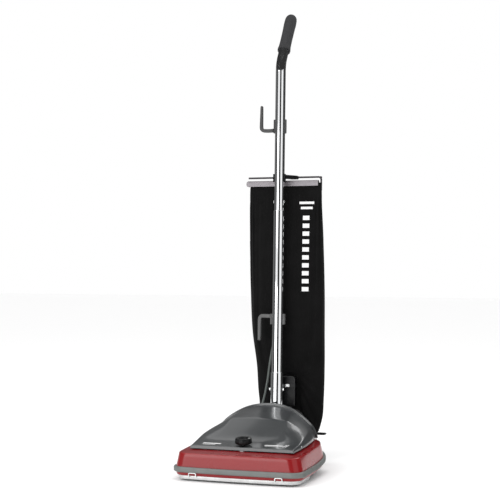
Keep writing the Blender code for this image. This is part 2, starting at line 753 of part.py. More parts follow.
def make_rear_wheels():
    part("rear_axle", rod(0.0025, 0.2260, 14, ALONG_X, REAR_AXLE), "steel", machine)
    for name, side in (("rear_wheel_left", -1), ("rear_wheel_right", 1)):
        at = REAR_AXLE + Vector((side * 0.1045, 0, 0))
        part(name, wheel_shape(REAR_AXLE.z, 0.013, 0.0029, at), "rubber", machine, at)


def make_carriage():
    """A lever that carries the front wheels and is pushed down by the height cam."""
    hinge = empty("carriage_axis", machine, CARRIAGE_HINGE)

    def local(low, high):
        return block(Vector(low) - CARRIAGE_HINGE, Vector(high) - CARRIAGE_HINGE)

    plate = part("front_carriage", local((-0.0720, 0.128, 0.0185), (0.0720, 0.197, 0.0205)), "steel", hinge)
    add(plate, rod(0.0040, 0.1440, 14, ALONG_X, (0, 0, 0)))
    for side in (-1, 1):
        low = 0.0700 if side > 0 else -0.0720
        add(plate, local((low, 0.128, 0.0088), (low + 0.002, 0.142, 0.0200)))
    add(plate, local((0.016, 0.1280, 0.0190), (0.024, 0.1305, 0.0632)))
    add(plate, local((0.016, 0.0710, 0.0610), (0.024, 0.1305, 0.0632)))
    add(plate, local((0.0120, 0.0710, 0.0610), (0.024, 0.0762, 0.0632)))
    cut(plate, rod(0.0023, 0.2, 12, ALONG_X))
    cut(plate, rod(0.0029, 0.2, 12, ALONG_X, FRONT_AXLE - CARRIAGE_HINGE))
    cut(plate, local((-0.0130, 0.120, 0.015), (0.0130, 0.1900, 0.030)))
    axle_at = FRONT_AXLE - CARRIAGE_HINGE
    dip = [(0.095, 0), (0.030, 0), (0.024, -0.0006), (0.016, -0.0032), (0.010, -0.0040)]
    dip = [(-x, z) for x, z in dip] + dip[::-1]
    wire("front_axle", [axle_at + Vector((x, 0, z)) for x, z in dip], 0.0025, "steel", hinge)
    for name, side in (("front_wheel_left", -1), ("front_wheel_right", 1)):
        at = axle_at + Vector((side * 0.085, 0, 0))
        part(name, wheel_shape(FRONT_AXLE.z, 0.012, 0.0029, at), "rubber", hinge, at)
    coil = helix((-0.030, 0.150, 0.0218), 0.005, 0.0225, 36)
    wire("carriage_spring", coil, 0.0007, "steel", machine, 1)


def make_knob():
    axis = empty("knob_axis", machine, KNOB, (KNOB_TILT, 0, 0))
    profile = [
        (0.0, -0.0085), (0.0045, -0.0085), (0.0045, 0.0045), (0.0205, 0.0045), (0.0218, 0.0060),
        (0.0212, 0.0170), (0.0195, 0.0188), (0.0120, 0.0188), (0.0100, 0.0150), (0.0, 0.0150),
    ]
    part("height_knob", turned(profile, 24), "black_plastic", axis)
    steps = 24
    low_of = []
    for k in range(steps + 1):
        turn_back = (-360 * k / steps) % 360
        rise = 0.0100 * min(turn_back / 215, 1.0)
        low_of.append(-0.0232 + rise if turn_back < 300 else -0.0232 + 0.0100 * (360 - turn_back) / 60)
    rings = []
    for k in range(steps):
        angle = 2 * math.pi * k / steps
        out = Vector((math.cos(angle), math.sin(angle), 0))
        low = Vector((0, 0, low_of[k]))
        high = Vector((0, 0, -0.0090))
        rings.append([out * 0.0095 + low, out * 0.0172 + low, out * 0.0172 + high, out * 0.0095 + high])
    cam = part("height_cam", loft(rings, closed=True), "steel", axis)
    add(cam, rod(0.0110, 0.0022, 24, UP, (0, 0, -0.0101)))
    add(cam, pipe(0.0105, 0.0100, -0.0110, -0.0092, 24))


# ================= pedal =================


def make_pedal():
    shaft = rod(0.0030, 0.0640, 12, ALONG_X, PEDAL + Vector((0.080, 0, 0)))
    pedal = part("release_pedal", shaft, "black_plastic", machine, PEDAL)
    pad = [(0.1070, 0.3400), (0.1130, 0.3370), (0.1360, 0.3370), (0.1415, 0.3420)]
    pad += [(0.1420, 0.3560), (0.1370, 0.3620), (0.1130, 0.3620), (0.1070, 0.3580)]
    add(pedal, prism(pad, 0.0842, 0.0885), block((0.1040, 0.3240, 0.0865), (0.1180, 0.3450, 0.0895)))
    wire("pedal_spring", helix((0.117, 0.335, 0.0690), 0.004, 0.0144, 32), 0.0006, "steel", machine, 1)


# ================= handle =================
# Handle pieces are written about the pivot, with Z along the tube.

handle = empty("handle_axis", machine, PIVOT, (-math.atan(LEAN), 0, 0))
LOW_TUBE = (0.0500, 0.5975)
UP_TUBE = (0.5980, 0.9860)
SLEEVE = (0.0500, 0.1490)
SOCKET_BOLT_Z = 0.1025
JOINT_BOLT_Z = 0.6225
LEAD_BACK = 0.0068
LEAD_R = 0.0033
BEND_R = 0.080
LEAD_EXIT_Z = 0.2690
LEAD_ROUTE = [
    (-0.0036, 0.0098, 0.281), (-0.0092, 0.0156, 0.263), (-0.0165, 0.0214, 0.240), (-0.0235, 0.0235, 0.205),
    (-0.0300, 0.0240, 0.165), (-0.0350, 0.0215, 0.120), (-0.0430, 0.0130, 0.070), (-0.0520, -0.0020, 0.034),
]


def handle_line():
    """Centre line of the upper tube: straight, a bend, and the straight part inside the grip."""
    tilt = GRIP_TILT - math.atan(LEAN)
    reach = BEND_R * math.tan(tilt / 2)
    corner = 1.0100
    points = [Vector((0, 0, UP_TUBE[0])), Vector((0, 0, 0.62)), Vector((0, 0, 0.9))]
    start = corner - reach
    for step in range(7):
        angle = tilt * step / 6
        points.append(Vector((0, BEND_R * (1 - math.cos(angle)), start + BEND_R * math.sin(angle))))
    ahead = Vector((0, math.sin(tilt), math.cos(tilt)))
    points.append(points[-1] + ahead * 0.150)
    return points, ahead


def make_yoke():
    yoke = part("handle_yoke", rod(0.0130, 0.0700, 24, ALONG_X), "cast_aluminium", handle)
    neck = [(0.0, 0.0), (0.0120, 0.0), (0.0160, 0.020), (0.0172, 0.030), (0.0172, 0.0496)]
    neck += [(0.0142, 0.0496), (0.0142, 0.1180), (0.0, 0.1180)]
    add(yoke, turned(neck, 24))
    cut(yoke, rod(0.0044, 0.1, 16, ALONG_X), rod(0.0033, 0.1, 12, ALONG_X, (0, 0, SOCKET_BOLT_Z)))
    sleeve = part("socket_sleeve", pipe(SLEEVE_R, TUBE_LOW_R + 2 * GAP, *SLEEVE, 20), "chrome", handle)
    cut(sleeve, rod(0.0033, 0.1, 12, ALONG_X, (0, 0, SOCKET_BOLT_Z)))
    bolt = part("socket_bolt", rod(0.0029, 0.0400, 12, ALONG_X, (0, 0, SOCKET_BOLT_Z)), "steel", handle)
    for side in (-1, 1):
        add(bolt, rod(0.0050, 0.0026, 6, ALONG_X, (side * 0.0194, 0, SOCKET_BOLT_Z)))


def make_tubes():
    low = part("lower_tube", pipe(TUBE_LOW_R, TUBE_LOW_R - TUBE_WALL, *LOW_TUBE, 20), "chrome", handle)
    cut(low, rod(0.0033, 0.1, 12, ALONG_X, (0, 0, SOCKET_BOLT_Z)))
    slope = Vector((-0.013, 0.012, -0.040)).to_track_quat("Z", "Y").to_matrix().to_4x4()
    cut(low, rod(0.0047, 0.050, 14, slope, (-0.0075, 0.0138, LEAD_EXIT_Z)))
    points, _ = handle_line()
    outer = swept(points, lambda t: TUBE_UP_R, 20)
    inner = swept(points, lambda t: TUBE_UP_R - TUBE_WALL, 20)
    up = part("upper_tube", loft(outer + inner[::-1], closed=True), "chrome", handle)
    cut(up, rod(0.0030, 0.1, 12, ALONG_X, (0, 0, JOINT_BOLT_Z)))
    cut(up, block((-0.0045, 0.010, 0.925), (0.0045, 0.018, 0.945)))
    coupler = [(0.0144, 0.540), (0.0144, 0.5970), (0.0125, 0.5970)]
    coupler += [(0.0125, 0.660), (0.0103, 0.660), (0.0103, 0.540)]
    core = part("tube_coupler", turned(coupler, 24, ring=True), "steel", handle)
    cut(core, rod(0.0030, 0.1, 12, ALONG_X, (0, 0, JOINT_BOLT_Z)))
    bolt = part("joint_bolt", rod(0.0026, 0.0320, 12, ALONG_X, (0, 0, JOINT_BOLT_Z)), "steel", handle)
    for side in (-1, 1):
        add(bolt, rod(0.0046, 0.0024, 6, ALONG_X, (side * 0.0156, 0, JOINT_BOLT_Z)))


def make_grip():
    points, ahead = handle_line()
    end = points[-1]
    start = end - ahead * 0.1250
    lathe = [
        (0.0, 0.1256), (0.0146, 0.1256), (0.0146, 0.0), (0.0186, 0.0), (0.0182, 0.008), (0.0170, 0.016),
        (0.0168, 0.070), (0.0176, 0.105), (0.0172, 0.122), (0.0150, 0.131), (0.0100, 0.137), (0.0, 0.1390),
    ]
    turn = Matrix.Rotation(-math.atan2(ahead.y, ahead.z), 4, "X")
    part("grip", turned(lathe, 20, turn, start), "foam", handle)


def make_switch():
    """A small rocker on the tube's back, just below the bend."""
    case = block((-0.0065, 0.0146, 0.915), (0.0065, 0.0265, 0.955))
    body = part("switch_housing", case, "black_plastic", handle)
    cut(body, block((-0.0042, 0.0180, 0.924), (0.0042, 0.0300, 0.946)))
    pivot = Vector((0, 0.0235, 0.935))
    outline = [(0.0207, 0.9265), (0.0270, 0.9255), (0.0285, 0.9350), (0.0290, 0.9430), (0.0207, 0.9440)]
    part("switch_rocker", prism(outline, -0.0038, 0.0038, SIDE_ON), "black_plastic", handle, pivot)


# ================= cord hooks =================


def make_upper_hook():
    clamp_z = 0.8335
    collar = pipe(0.0182, TUBE_UP_R + GAP, clamp_z - 0.019, clamp_z + 0.019, 24)
    clamp = part("upper_hook_clamp", collar, "hook_grey", handle)
    cut(clamp, block((-0.03, -0.03, clamp_z - 0.03), (0.03, -0.0045, clamp_z + 0.03)))
    axis = Vector((-0.0185, 0.0, 0.8225))
    pad = rod(0.0058, 0.0030, 16, ALONG_X, (-0.0202, 0.0, axis.z))
    hook = part("upper_hook", pad, "hook_grey", handle, axis)
    outline = [
        (-0.0190, 0.8170), (-0.0190, 0.8270), (-0.0440, 0.8270), (-0.0485, 0.8300),
        (-0.0500, 0.8360), (-0.0508, 0.8905), (-0.0540, 0.8935), (-0.0572, 0.8905),
        (-0.0596, 0.8300), (-0.0590, 0.8210), (-0.0540, 0.8170),
    ]
    add(hook, prism(outline, -0.0050, 0.0050, FACE_ON))


def make_lower_hook():
    clamp_z = 0.2960
    collar = pipe(0.0212, TUBE_LOW_R + GAP, clamp_z - 0.0145, clamp_z + 0.0145, 24)
    hook = part("lower_hook", collar, "hook_grey", handle)
    cut(hook, block((-0.03, -0.03, clamp_z - 0.03), (0.03, -0.0045, clamp_z + 0.03)))
    outline = [
        (-0.0185, 0.2965), (-0.0185, 0.3100), (-0.0530, 0.3100), (-0.0570, 0.3070),
        (-0.0585, 0.3010), (-0.0572, 0.2380), (-0.0530, 0.2355), (-0.0490, 0.2385),
        (-0.0470, 0.2890), (-0.0450, 0.2960), (-0.0400, 0.2990),
    ]
    add(hook, prism(outline, -0.0050, 0.0050, FACE_ON))


# ================= bag and its fittings =================
BAG_Y = 0.0360
BAIL_Y = 0.0500
BAIL_Z = 0.6950


def make_bail():
    """A wire hanger whose right end turns down to the bag clamp, and the clip that holds it."""
    half = 0.1070
    bend = 0.008
    route = [Vector((-half, BAIL_Y, BAIL_Z))]
    for step in range(5):
        angle = math.radians(90 - 90 * step / 4)
        x = half - bend + bend * math.cos(angle)
        route.append(Vector((x, BAIL_Y, BAIL_Z - bend + bend * math.sin(angle))))
    route.append(Vector((half, BAIL_Y, BAIL_Z - 0.038)))
    wire("bag_bail", route, 0.0026, "steel", handle)
    collar = pipe(0.0178, TUBE_UP_R + GAP, BAIL_Z - 0.017, BAIL_Z + 0.005, 24)
    clip = part("bail_clip", collar, "black_plastic", handle)
    cut(clip, block((-0.03, -0.03, BAIL_Z - 0.03), (0.03, -0.0045, BAIL_Z + 0.03)))
    outline = [(0.004, 0.0165), (0.013, 0.0105), (0.040, 0.0440)]
    outline += [(0.040, 0.0550), (0.020, 0.0550), (0.004, 0.0300)]
    add(clip, prism(outline, BAIL_Z - 0.0088, BAIL_Z + 0.0045))
    cut(clip, rod(0.0031, 0.12, 12, ALONG_X, (0.02, BAIL_Y, BAIL_Z)))
    cut(clip, block((0.0, BAIL_Y - 0.004, BAIL_Z - 0.030), (0.06, BAIL_Y + 0.02, BAIL_Z - 0.0060)))


def make_bag_clamp():
    """A channel that slides along the folded top of the bag."""
    y = BAG_Y
    top = BAG_TOP_Z - PIVOT.z + 0.0072
    profile = [(y - 0.0068, top - 0.0165), (y - 0.0068, top - 0.003), (y - 0.0040, top), (y + 0.0040, top)]
    profile += [(y + 0.0068, top - 0.003), (y + 0.0068, top - 0.0165), (y + 0.0052, top - 0.0165)]
    profile += [(y + 0.0052, top - 0.0030), (y - 0.0052, top - 0.0030), (y - 0.0052, top - 0.0165)]
    part("bag_clamp", prism(profile, -0.1070, 0.1030, SIDE_ON), "steel", handle)


def make_bag():
    """A flat-topped sack, thickest at two thirds of the way down, closed at the bottom."""
    top = BAG_TOP_Z - PIVOT.z
    #  height above pivot, left x, right x, front y, rear y
    table = [
        (top, -0.0960, 0.1110, BAG_Y - 0.0040, BAG_Y + 0.0040),
        (top - 0.028, -0.0970, 0.1120, BAG_Y - 0.0040, BAG_Y + 0.0040),
        (top - 0.060, -0.0980, 0.1135, BAG_Y - 0.0090, BAG_Y + 0.0150),
        (0.500, -0.0990, 0.1175, BAG_Y - 0.0130, BAG_Y + 0.0400),
        (0.380, -0.0970, 0.1190, BAG_Y - 0.0110, BAG_Y + 0.0560),
        (0.260, -0.0910, 0.1190, BAG_Y - 0.0090, BAG_Y + 0.0620),
        (0.170, -0.0810, 0.1180, BAG_Y + 0.0090, BAG_Y + 0.0630),
        (0.080, -0.0740, 0.1160, BAG_Y + 0.0130, BAG_Y + 0.0610),
        (0.030, -0.0650, 0.1130, BAG_Y + 0.0160, BAG_Y + 0.0560),
        (0.000, -0.0450, 0.1060, BAG_Y + 0.0210, BAG_Y + 0.0520),
        (-0.020, -0.0200, 0.0970, BAG_Y + 0.0260, BAG_Y + 0.0480),
        (-0.030, 0.0100, 0.0820, BAG_Y + 0.0300, BAG_Y + 0.0440),
    ]
    rings = []
    for z, left, right, front, rear in table:
        middle = Vector(((left + right) / 2, (front + rear) / 2, z))
        ring = []
        for step in range(24):
            angle = 2 * math.pi * step / 24
            c, s = math.cos(angle), math.sin(angle)
            x = math.copysign(abs(c) ** 0.55, c) * (right - left) / 2
            y = math.copysign(abs(s) ** 0.75, s) * (rear - front) / 2
            ring.append(middle + Vector((x, y, 0)))
        rings.append(ring)
    part("bag", loft(rings[::-1]), "cloth", handle)


def make_duct():
    """The stiff inlet on the bag's front, its strap, and the boot that joins it to the exhaust."""
    x0, x1, y0, y1 = 0.0050, 0.0450, 0.0205, 0.0405
    duct = part("bag_inlet_duct", block((x0, y0, 0.0580), (x1, y1, 0.1380)), "black_plastic", handle)
    cut(duct, block((x0 + 0.0025, y0 + 0.0025, 0.0500), (x1 - 0.0025, y1 - 0.0025, 0.1350)))
    cut(duct, block((x0 + 0.0060, y0 + 0.0100, 0.0900), (x1 - 0.0060, y1 + 0.01, 0.1300)))
    band = block((x0 - 0.0018, y0 - 0.0018, 0.1060), (x1 + 0.0018, y1 - 0.003, 0.1180))
    strap = part("duct_clamp", band, "steel", handle)
    cut(strap, block((x0 - GAP, y0 - GAP, 0.1000), (x1 + GAP, y1 + 0.01, 0.1250)))
    add(strap, rod(0.0032, 0.0050, 10, ALONG_Y, (0.0205, y0 - 0.0035, 0.1120)))


def make_boot_and_lead():
    turn = Matrix.Translation(PIVOT) @ Euler((-math.atan(LEAN), 0, 0)).to_matrix().to_4x4()
    duct_mouth = turn @ Vector((0.0250, 0.0298, 0.0530))
    route = [(0.068, 0.3725, 0.0935), (0.067, 0.3790, 0.1080), (0.052, 0.3850, 0.1300)]
    route += [(0.030, 0.3860, 0.1400), tuple(duct_mouth)]
    points = smooth_path(route, 10)
    outer = swept(points, lambda t: 0.0160 - 0.0075 * t, 12)
    inner = swept(points, lambda t: 0.0140 - 0.0075 * t, 12)
    part("duct_boot", loft(outer + inner[::-1], closed=True), "rubber", machine)
    inside = [turn @ Vector((0, LEAD_BACK, z)) for z in (0.925, 0.80, 0.68, 0.56, 0.44, 0.36, 0.305)]
    outside = [turn @ Vector(p) for p in LEAD_ROUTE]
    gland = [Vector((-0.057, 0.332, 0.119)), Vector((-0.056, 0.3150, 0.1125))]
    gland.append(Vector((-0.056, 0.2880, 0.112)))
    wire("motor_lead", smooth_path(inside + outside + gland, 64), LEAD_R, "lead_grey", machine)


make_motor()
make_rotor()
make_brush_roll()
make_belt()
make_rear_wheels()
make_carriage()
make_knob()
make_pedal()
make_yoke()
make_tubes()
make_grip()
make_switch()
make_upper_hook()
make_lower_hook()
make_bail()
make_bag_clamp()
make_bag()
make_duct()
make_boot_and_lead()
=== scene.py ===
"""Looks of the upright vacuum cleaner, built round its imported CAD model.

Base shapes are written in design coordinates, with Y counted from the bumper's front face.
Handle shapes are written about the handle's pivot, with Z along the tube. Metres.
"""

import json
import math

import bmesh
import bpy
import numpy as np
from mathutils import Matrix, Vector, noise
from mathutils.bvhtree import BVHTree

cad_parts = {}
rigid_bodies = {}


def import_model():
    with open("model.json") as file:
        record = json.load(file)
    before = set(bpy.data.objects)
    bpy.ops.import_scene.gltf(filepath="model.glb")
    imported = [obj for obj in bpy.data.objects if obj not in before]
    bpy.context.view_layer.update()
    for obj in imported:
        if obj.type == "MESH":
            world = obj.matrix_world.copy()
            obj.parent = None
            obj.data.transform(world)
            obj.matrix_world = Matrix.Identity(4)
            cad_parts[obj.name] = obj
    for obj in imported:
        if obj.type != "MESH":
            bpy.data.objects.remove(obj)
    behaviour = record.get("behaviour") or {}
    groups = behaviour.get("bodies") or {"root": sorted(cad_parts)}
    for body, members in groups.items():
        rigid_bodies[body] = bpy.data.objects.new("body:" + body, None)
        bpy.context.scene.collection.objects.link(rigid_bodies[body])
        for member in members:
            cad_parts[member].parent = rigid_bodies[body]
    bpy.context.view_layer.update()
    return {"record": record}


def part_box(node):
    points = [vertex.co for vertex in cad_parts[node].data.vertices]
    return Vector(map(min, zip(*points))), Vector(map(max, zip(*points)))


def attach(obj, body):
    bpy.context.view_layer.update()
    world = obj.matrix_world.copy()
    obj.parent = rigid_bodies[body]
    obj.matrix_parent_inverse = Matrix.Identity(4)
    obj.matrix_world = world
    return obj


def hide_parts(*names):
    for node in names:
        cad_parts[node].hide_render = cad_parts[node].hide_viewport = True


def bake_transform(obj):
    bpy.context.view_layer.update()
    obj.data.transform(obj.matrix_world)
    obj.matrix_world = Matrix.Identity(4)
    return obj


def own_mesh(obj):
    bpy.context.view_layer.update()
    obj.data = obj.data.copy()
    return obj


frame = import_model()

JOINTS = {joint["name"]: joint for joint in frame["record"]["behaviour"]["joints"]}
FRONT_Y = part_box("bumper")[0][1]
BASE = Matrix.Translation((0, FRONT_Y, 0))
LEAN = math.atan(0.041)
PIVOT = Vector(JOINTS["handle_recline"]["pos_m"])
HANDLE = Matrix.Translation(PIVOT) @ Matrix.Rotation(-LEAN, 4, "X")
KNOB = Matrix.Translation(JOINTS["knob_turn"]["pos_m"]) @ Matrix.Rotation(math.radians(5), 4, "X")
ALONG_X = Matrix.Rotation(math.radians(90), 4, "Y")
ALONG_Y = Matrix.Rotation(math.radians(-90), 4, "X")
# takes an outline drawn as (y, z) and stands it up across the cleaner
SIDE_ON = Matrix(((0, 0, 1, 0), (1, 0, 0, 0), (0, 1, 0, 0), (0, 0, 0, 1)))
SIDES = (("left", -1), ("right", 1))
EVEN = (1, 1, 1)
# level directions from the cleaner towards the camera, and to the camera's right
TOWARD = Vector((0.3324, -0.9431, 0))
RIGHT = Vector((0.9475, 0.3198, 0))
BASE_REAR = 0.312
BOW = 0.006

# ================= camera, light and floor =================


def make_camera():
    data = bpy.data.cameras.new("camera")
    data.lens = 88.66
    data.sensor_width = 36
    data.clip_end = 50
    camera = bpy.data.objects.new("camera", data)
    bpy.context.collection.objects.link(camera)
    camera.location = (1.01995, FRONT_Y - 2.89748, 0.56688)
    camera.rotation_euler = (math.radians(90.345), 0, math.radians(18.65))
    bpy.context.scene.camera = camera


def panel_light(name, location, target, width, height, power, spread=180):
    data = bpy.data.lights.new(name, "AREA")
    data.shape = "RECTANGLE"
    data.size = width
    data.size_y = height
    data.energy = power
    data.spread = math.radians(spread)
    light = bpy.data.objects.new(name, data)
    bpy.context.collection.objects.link(light)
    light.location = location
    aim = Vector(target) - Vector(location)
    light.rotation_euler = aim.to_track_quat("-Z", "Y").to_euler()


def make_studio():
    world = bpy.data.worlds.new("studio")
    world.use_nodes = True
    background = world.node_tree.nodes["Background"]
    background.inputs["Color"].default_value = (1.0, 1.0, 1.0, 1)
    background.inputs["Strength"].default_value = 1.0
    bpy.context.scene.world = world
    bpy.context.scene.view_settings.view_transform = "Standard"
    panel_light("key", (-1.7, -2.4, 2.6), (0, 0, 0.4), 1.5, 1.5, 26)
    panel_light("top", (0.3, -0.3, 3.2), (0, 0, 0.2), 2.0, 2.0, 22)
    panel_light("front_sheen", (-0.95, -2.6, 1.15), (0, -0.25, 0.06), 1.3, 0.62, 7.5)

    mesh = bpy.data.meshes.new("floor")
    reach = 14
    corners = [(-reach, -reach, 0), (reach, -reach, 0), (reach, reach, 0), (-reach, reach, 0)]
    mesh.from_pydata(corners, [], [[0, 1, 2, 3]])
    floor = bpy.data.objects.new("floor", mesh)
    bpy.context.collection.objects.link(floor)
    material = bpy.data.materials.new("floor")
    material.use_nodes = True
    shader = material.node_tree.nodes["Principled BSDF"]
    shader.inputs["Base Color"].default_value = (0.97, 0.97, 0.97, 1)
    shader.inputs["Roughness"].default_value = 0.9
    shader.inputs["Specular IOR Level"].default_value = 0.1
    mesh.materials.append(material)


def reflector(name, start, end, low, high, shade, radius=2.3):
    """A curved board round the cleaner, seen only in glossy reflections, as the dark stripes on chrome.

    start and end are degrees from the direction of the camera, towards its right.
    """
    points = []
    steps = 12
    for step in range(steps + 1):
        angle = math.radians(start + (end - start) * step / steps)
        out = (TOWARD * math.cos(angle) + RIGHT * math.sin(angle)) * radius
        points += [out + Vector((0, 0, low)), out + Vector((0, 0, high))]
    faces = [[2 * k, 2 * k + 1, 2 * k + 3, 2 * k + 2] for k in range(steps)]
    glowing_board(name, points, faces, shade)


def glowing_board(name, points, faces, shade):
    """A board of even brightness that shows only in glossy reflections."""
    mesh = bpy.data.meshes.new(name)
    mesh.from_pydata(points, [], faces)
    card = bpy.data.objects.new(name, mesh)
    bpy.context.collection.objects.link(card)
    material = bpy.data.materials.new(name)
    material.use_nodes = True
    nodes = material.node_tree.nodes
    nodes.clear()
    glow = nodes.new("ShaderNodeEmission")
    glow.inputs["Color"].default_value = (shade, shade, shade, 1)
    out = nodes.new("ShaderNodeOutputMaterial")
    material.node_tree.links.new(glow.outputs[0], out.inputs[0])
    mesh.materials.append(material)
    card.visible_camera = False
    card.visible_diffuse = False
    card.visible_shadow = False
    card.visible_transmission = False


def laid_board(name, left, right, front, rear, shade, z=0.001):
    """A level glowing board over the floor, or over the cleaner where z is high."""
    points = [(left, front, z), (right, front, z), (right, rear, z), (left, rear, z)]
    glowing_board(name, points, [[0, 1, 2, 3]], shade)


def dark_hood(centre, radius, low, high, half, shade, steps=12):
    """Part of a small dome in front of and above the tube's bend, which darkens what the bend mirrors.

    low and high are heights in degrees, and half is how far it goes to either side of the camera.
    """
    points = []
    for row in range(steps + 1):
        tall = math.radians(low + (high - low) * row / steps)
        for step in range(steps + 1):
            angle = math.radians(-half + 2 * half * step / steps)
            out = TOWARD * math.cos(angle) + RIGHT * math.sin(angle)
            points.append(Vector(centre) + radius * (out * math.cos(tall) + Vector((0, 0, math.sin(tall)))))
    wide = steps + 1
    faces = [
        [row * wide + k, row * wide + k + 1, row * wide + k + wide + 1, row * wide + k + wide]
        for row in range(steps) for k in range(steps)
    ]
    glowing_board("bend_card", points, faces, shade)


make_camera()
make_studio()
reflector("card_left_edge", -178, -104, -0.2, 1.90, 0.16)
reflector("card_left", -104, -62, -0.2, 1.90, 0.10)
reflector("card_middle", -16, 20, -0.2, 1.95, 0.03)
reflector("card_right", 66, 178, -0.2, 1.72, 0.05)
reflector("soft_left", -58, -20, 0.0, 0.62, 4.2)
reflector("rear_high", 110, 178, 1.75, 2.9, 3.5)
dark_hood((0.0, 0.150, 1.12), 0.45, 11.5, 89, 170, 0.035)
laid_board("floor_sheen", -1.4, 0.3, -2.2, -0.42, 2.3)
laid_board("floor_right", 0.19, 1.2, -0.2, 0.3, 0.35)

# ================= materials =================


class Shade:
    """A Principled material with a few procedural layers, all in object coordinates."""

    def __init__(self, name, colour, roughness, metallic=0.0, specular=0.5):
        self.material = bpy.data.materials.new(name)
        self.material.use_nodes = True
        self.nodes = self.material.node_tree.nodes
        self.links = self.material.node_tree.links
        self.shader = self.nodes["Principled BSDF"]
        self.shader.inputs["Base Color"].default_value = (*colour, 1)
        self.shader.inputs["Roughness"].default_value = roughness
        self.shader.inputs["Metallic"].default_value = metallic
        self.shader.inputs["Specular IOR Level"].default_value = specular
        self.coordinates = self.nodes.new("ShaderNodeTexCoord")
        self.colour = colour
        self.bumps = None

    def noise(self, scale, detail=4.0, stretch=EVEN):
        mapping = self.nodes.new("ShaderNodeMapping")
        mapping.inputs["Scale"].default_value = stretch
        self.links.new(self.coordinates.outputs["Object"], mapping.inputs["Vector"])
        texture = self.nodes.new("ShaderNodeTexNoise")
        texture.inputs["Scale"].default_value = scale
        texture.inputs["Detail"].default_value = detail
        self.links.new(mapping.outputs[0], texture.inputs["Vector"])
        return texture.outputs["Fac"]

    def wave(self, scale, direction, distortion=0.0):
        texture = self.nodes.new("ShaderNodeTexWave")
        texture.bands_direction = direction
        texture.inputs["Scale"].default_value = scale
        texture.inputs["Distortion"].default_value = distortion
        self.links.new(self.coordinates.outputs["Object"], texture.inputs["Vector"])
        return texture.outputs["Fac"]

    def ramp(self, source, low, high, out_low, out_high):
        node = self.nodes.new("ShaderNodeMapRange")
        node.inputs["From Min"].default_value = low
        node.inputs["From Max"].default_value = high
        node.inputs["To Min"].default_value = out_low
        node.inputs["To Max"].default_value = out_high
        self.links.new(source, node.inputs["Value"])
        return node.outputs["Result"]

    def mix(self, source, first, second):
        node = self.nodes.new("ShaderNodeMix")
        node.data_type = "RGBA"
        node.inputs["A"].default_value = (*first, 1)
        node.inputs["B"].default_value = (*second, 1)
        self.links.new(source, node.inputs["Factor"])
        return node.outputs["Result"]

    def vary_colour(self, scale, amount, detail=5.0, stretch=EVEN):
        dark = tuple(c * (1 - amount) for c in self.colour)
        light = tuple(min(1.0, c * (1 + amount)) for c in self.colour)
        spread = self.ramp(self.noise(scale, detail, stretch), 0.3, 0.7, 0.0, 1.0)
        self.links.new(self.mix(spread, dark, light), self.shader.inputs["Base Color"])

    def vary_roughness(self, scale, low, high, stretch=EVEN):
        spread = self.ramp(self.noise(scale, 6.0, stretch), 0.3, 0.7, low, high)
        self.links.new(spread, self.shader.inputs["Roughness"])

    def bump(self, source, distance, strength=1.0):
        node = self.nodes.new("ShaderNodeBump")
        node.inputs["Strength"].default_value = strength
        node.inputs["Distance"].default_value = distance
        self.links.new(source, node.inputs["Height"])
        if self.bumps is not None:
            self.links.new(self.bumps, node.inputs["Normal"])
        self.bumps = node.outputs["Normal"]
        self.links.new(self.bumps, self.shader.inputs["Normal"])

    def coat(self, weight, roughness):
        self.shader.inputs["Coat Weight"].default_value = weight
        self.shader.inputs["Coat Roughness"].default_value = roughness

    def multiply(self, first, second):
        node = self.nodes.new("ShaderNodeMath")
        node.operation = "MULTIPLY"
        self.links.new(first, node.inputs[0])
        self.links.new(second, node.inputs[1])
        return node.outputs[0]


def surface(name, colour, roughness, tint, shine=None, bump=None, coat=None, metallic=0.0, specular=0.5):
    """A finish with a few optional layers.

    tint varies the colour: scale and amount. shine varies the roughness: scale, least and most.
    bump is relief: scale, detail, stretch, height and strength. coat is its weight and roughness.
    """
    shade = Shade(name, colour, roughness, metallic, specular)
    shade.vary_colour(*tint)
    if shine:
        shade.vary_roughness(*shine)
    if bump:
        scale, detail, stretch, distance, strength = bump
        shade.bump(shade.noise(scale, detail, stretch), distance, strength)
    if coat:
        shade.coat(*coat)
    return shade.material


def moulded(name, colour, roughness, grain=700, specular=0.5):
    """Moulded plastic or rubber with a fine grain."""
    shine = (80, roughness * 0.85, min(1.0, roughness * 1.15))
    relief = (grain, 4.0, EVEN, 0.0003, 0.35)
    return surface(name, colour, roughness, tint=(30, 0.10), shine=shine, bump=relief, specular=specular)


def chrome_plate():
    shade = Shade("chrome_plate", (0.86, 0.87, 0.88), 0.05, 1.0)
    shade.vary_roughness(30, 0.035, 0.08, (1, 1, 0.08))
    return shade.material


def copper_winding():
    shade = Shade("copper_winding", (0.60, 0.25, 0.11), 0.35, 1.0)
    shade.bump(shade.wave(420, "Z"), 0.0003, 0.6)
    shade.vary_colour(80, 0.15)
    return shade.material


def bag_cloth():
    """Black woven cloth: a fine crossed weave over soft, long creases."""
    shade = Shade("bag_cloth", (0.0038, 0.0037, 0.0038), 0.86, specular=0.09)
    shade.vary_colour(24, 0.25)
    weave = shade.multiply(shade.wave(900, "X", 0.4), shade.wave(900, "Z", 0.4))
    shade.bump(weave, 0.0003, 0.45)
    shade.bump(shade.noise(55, 4.0, (1, 1, 0.25)), 0.0012, 0.35)
    shade.shader.inputs["Sheen Weight"].default_value = 0.04
    shade.shader.inputs["Sheen Roughness"].default_value = 0.5
    return shade.material


def tape_cloth():
    shade = Shade("tape_cloth", (0.014, 0.014, 0.015), 0.8, specular=0.3)
    shade.bump(shade.wave(1400, "Z", 0.2), 0.0003, 0.5)
    shade.vary_colour(60, 0.2)
    return shade.material


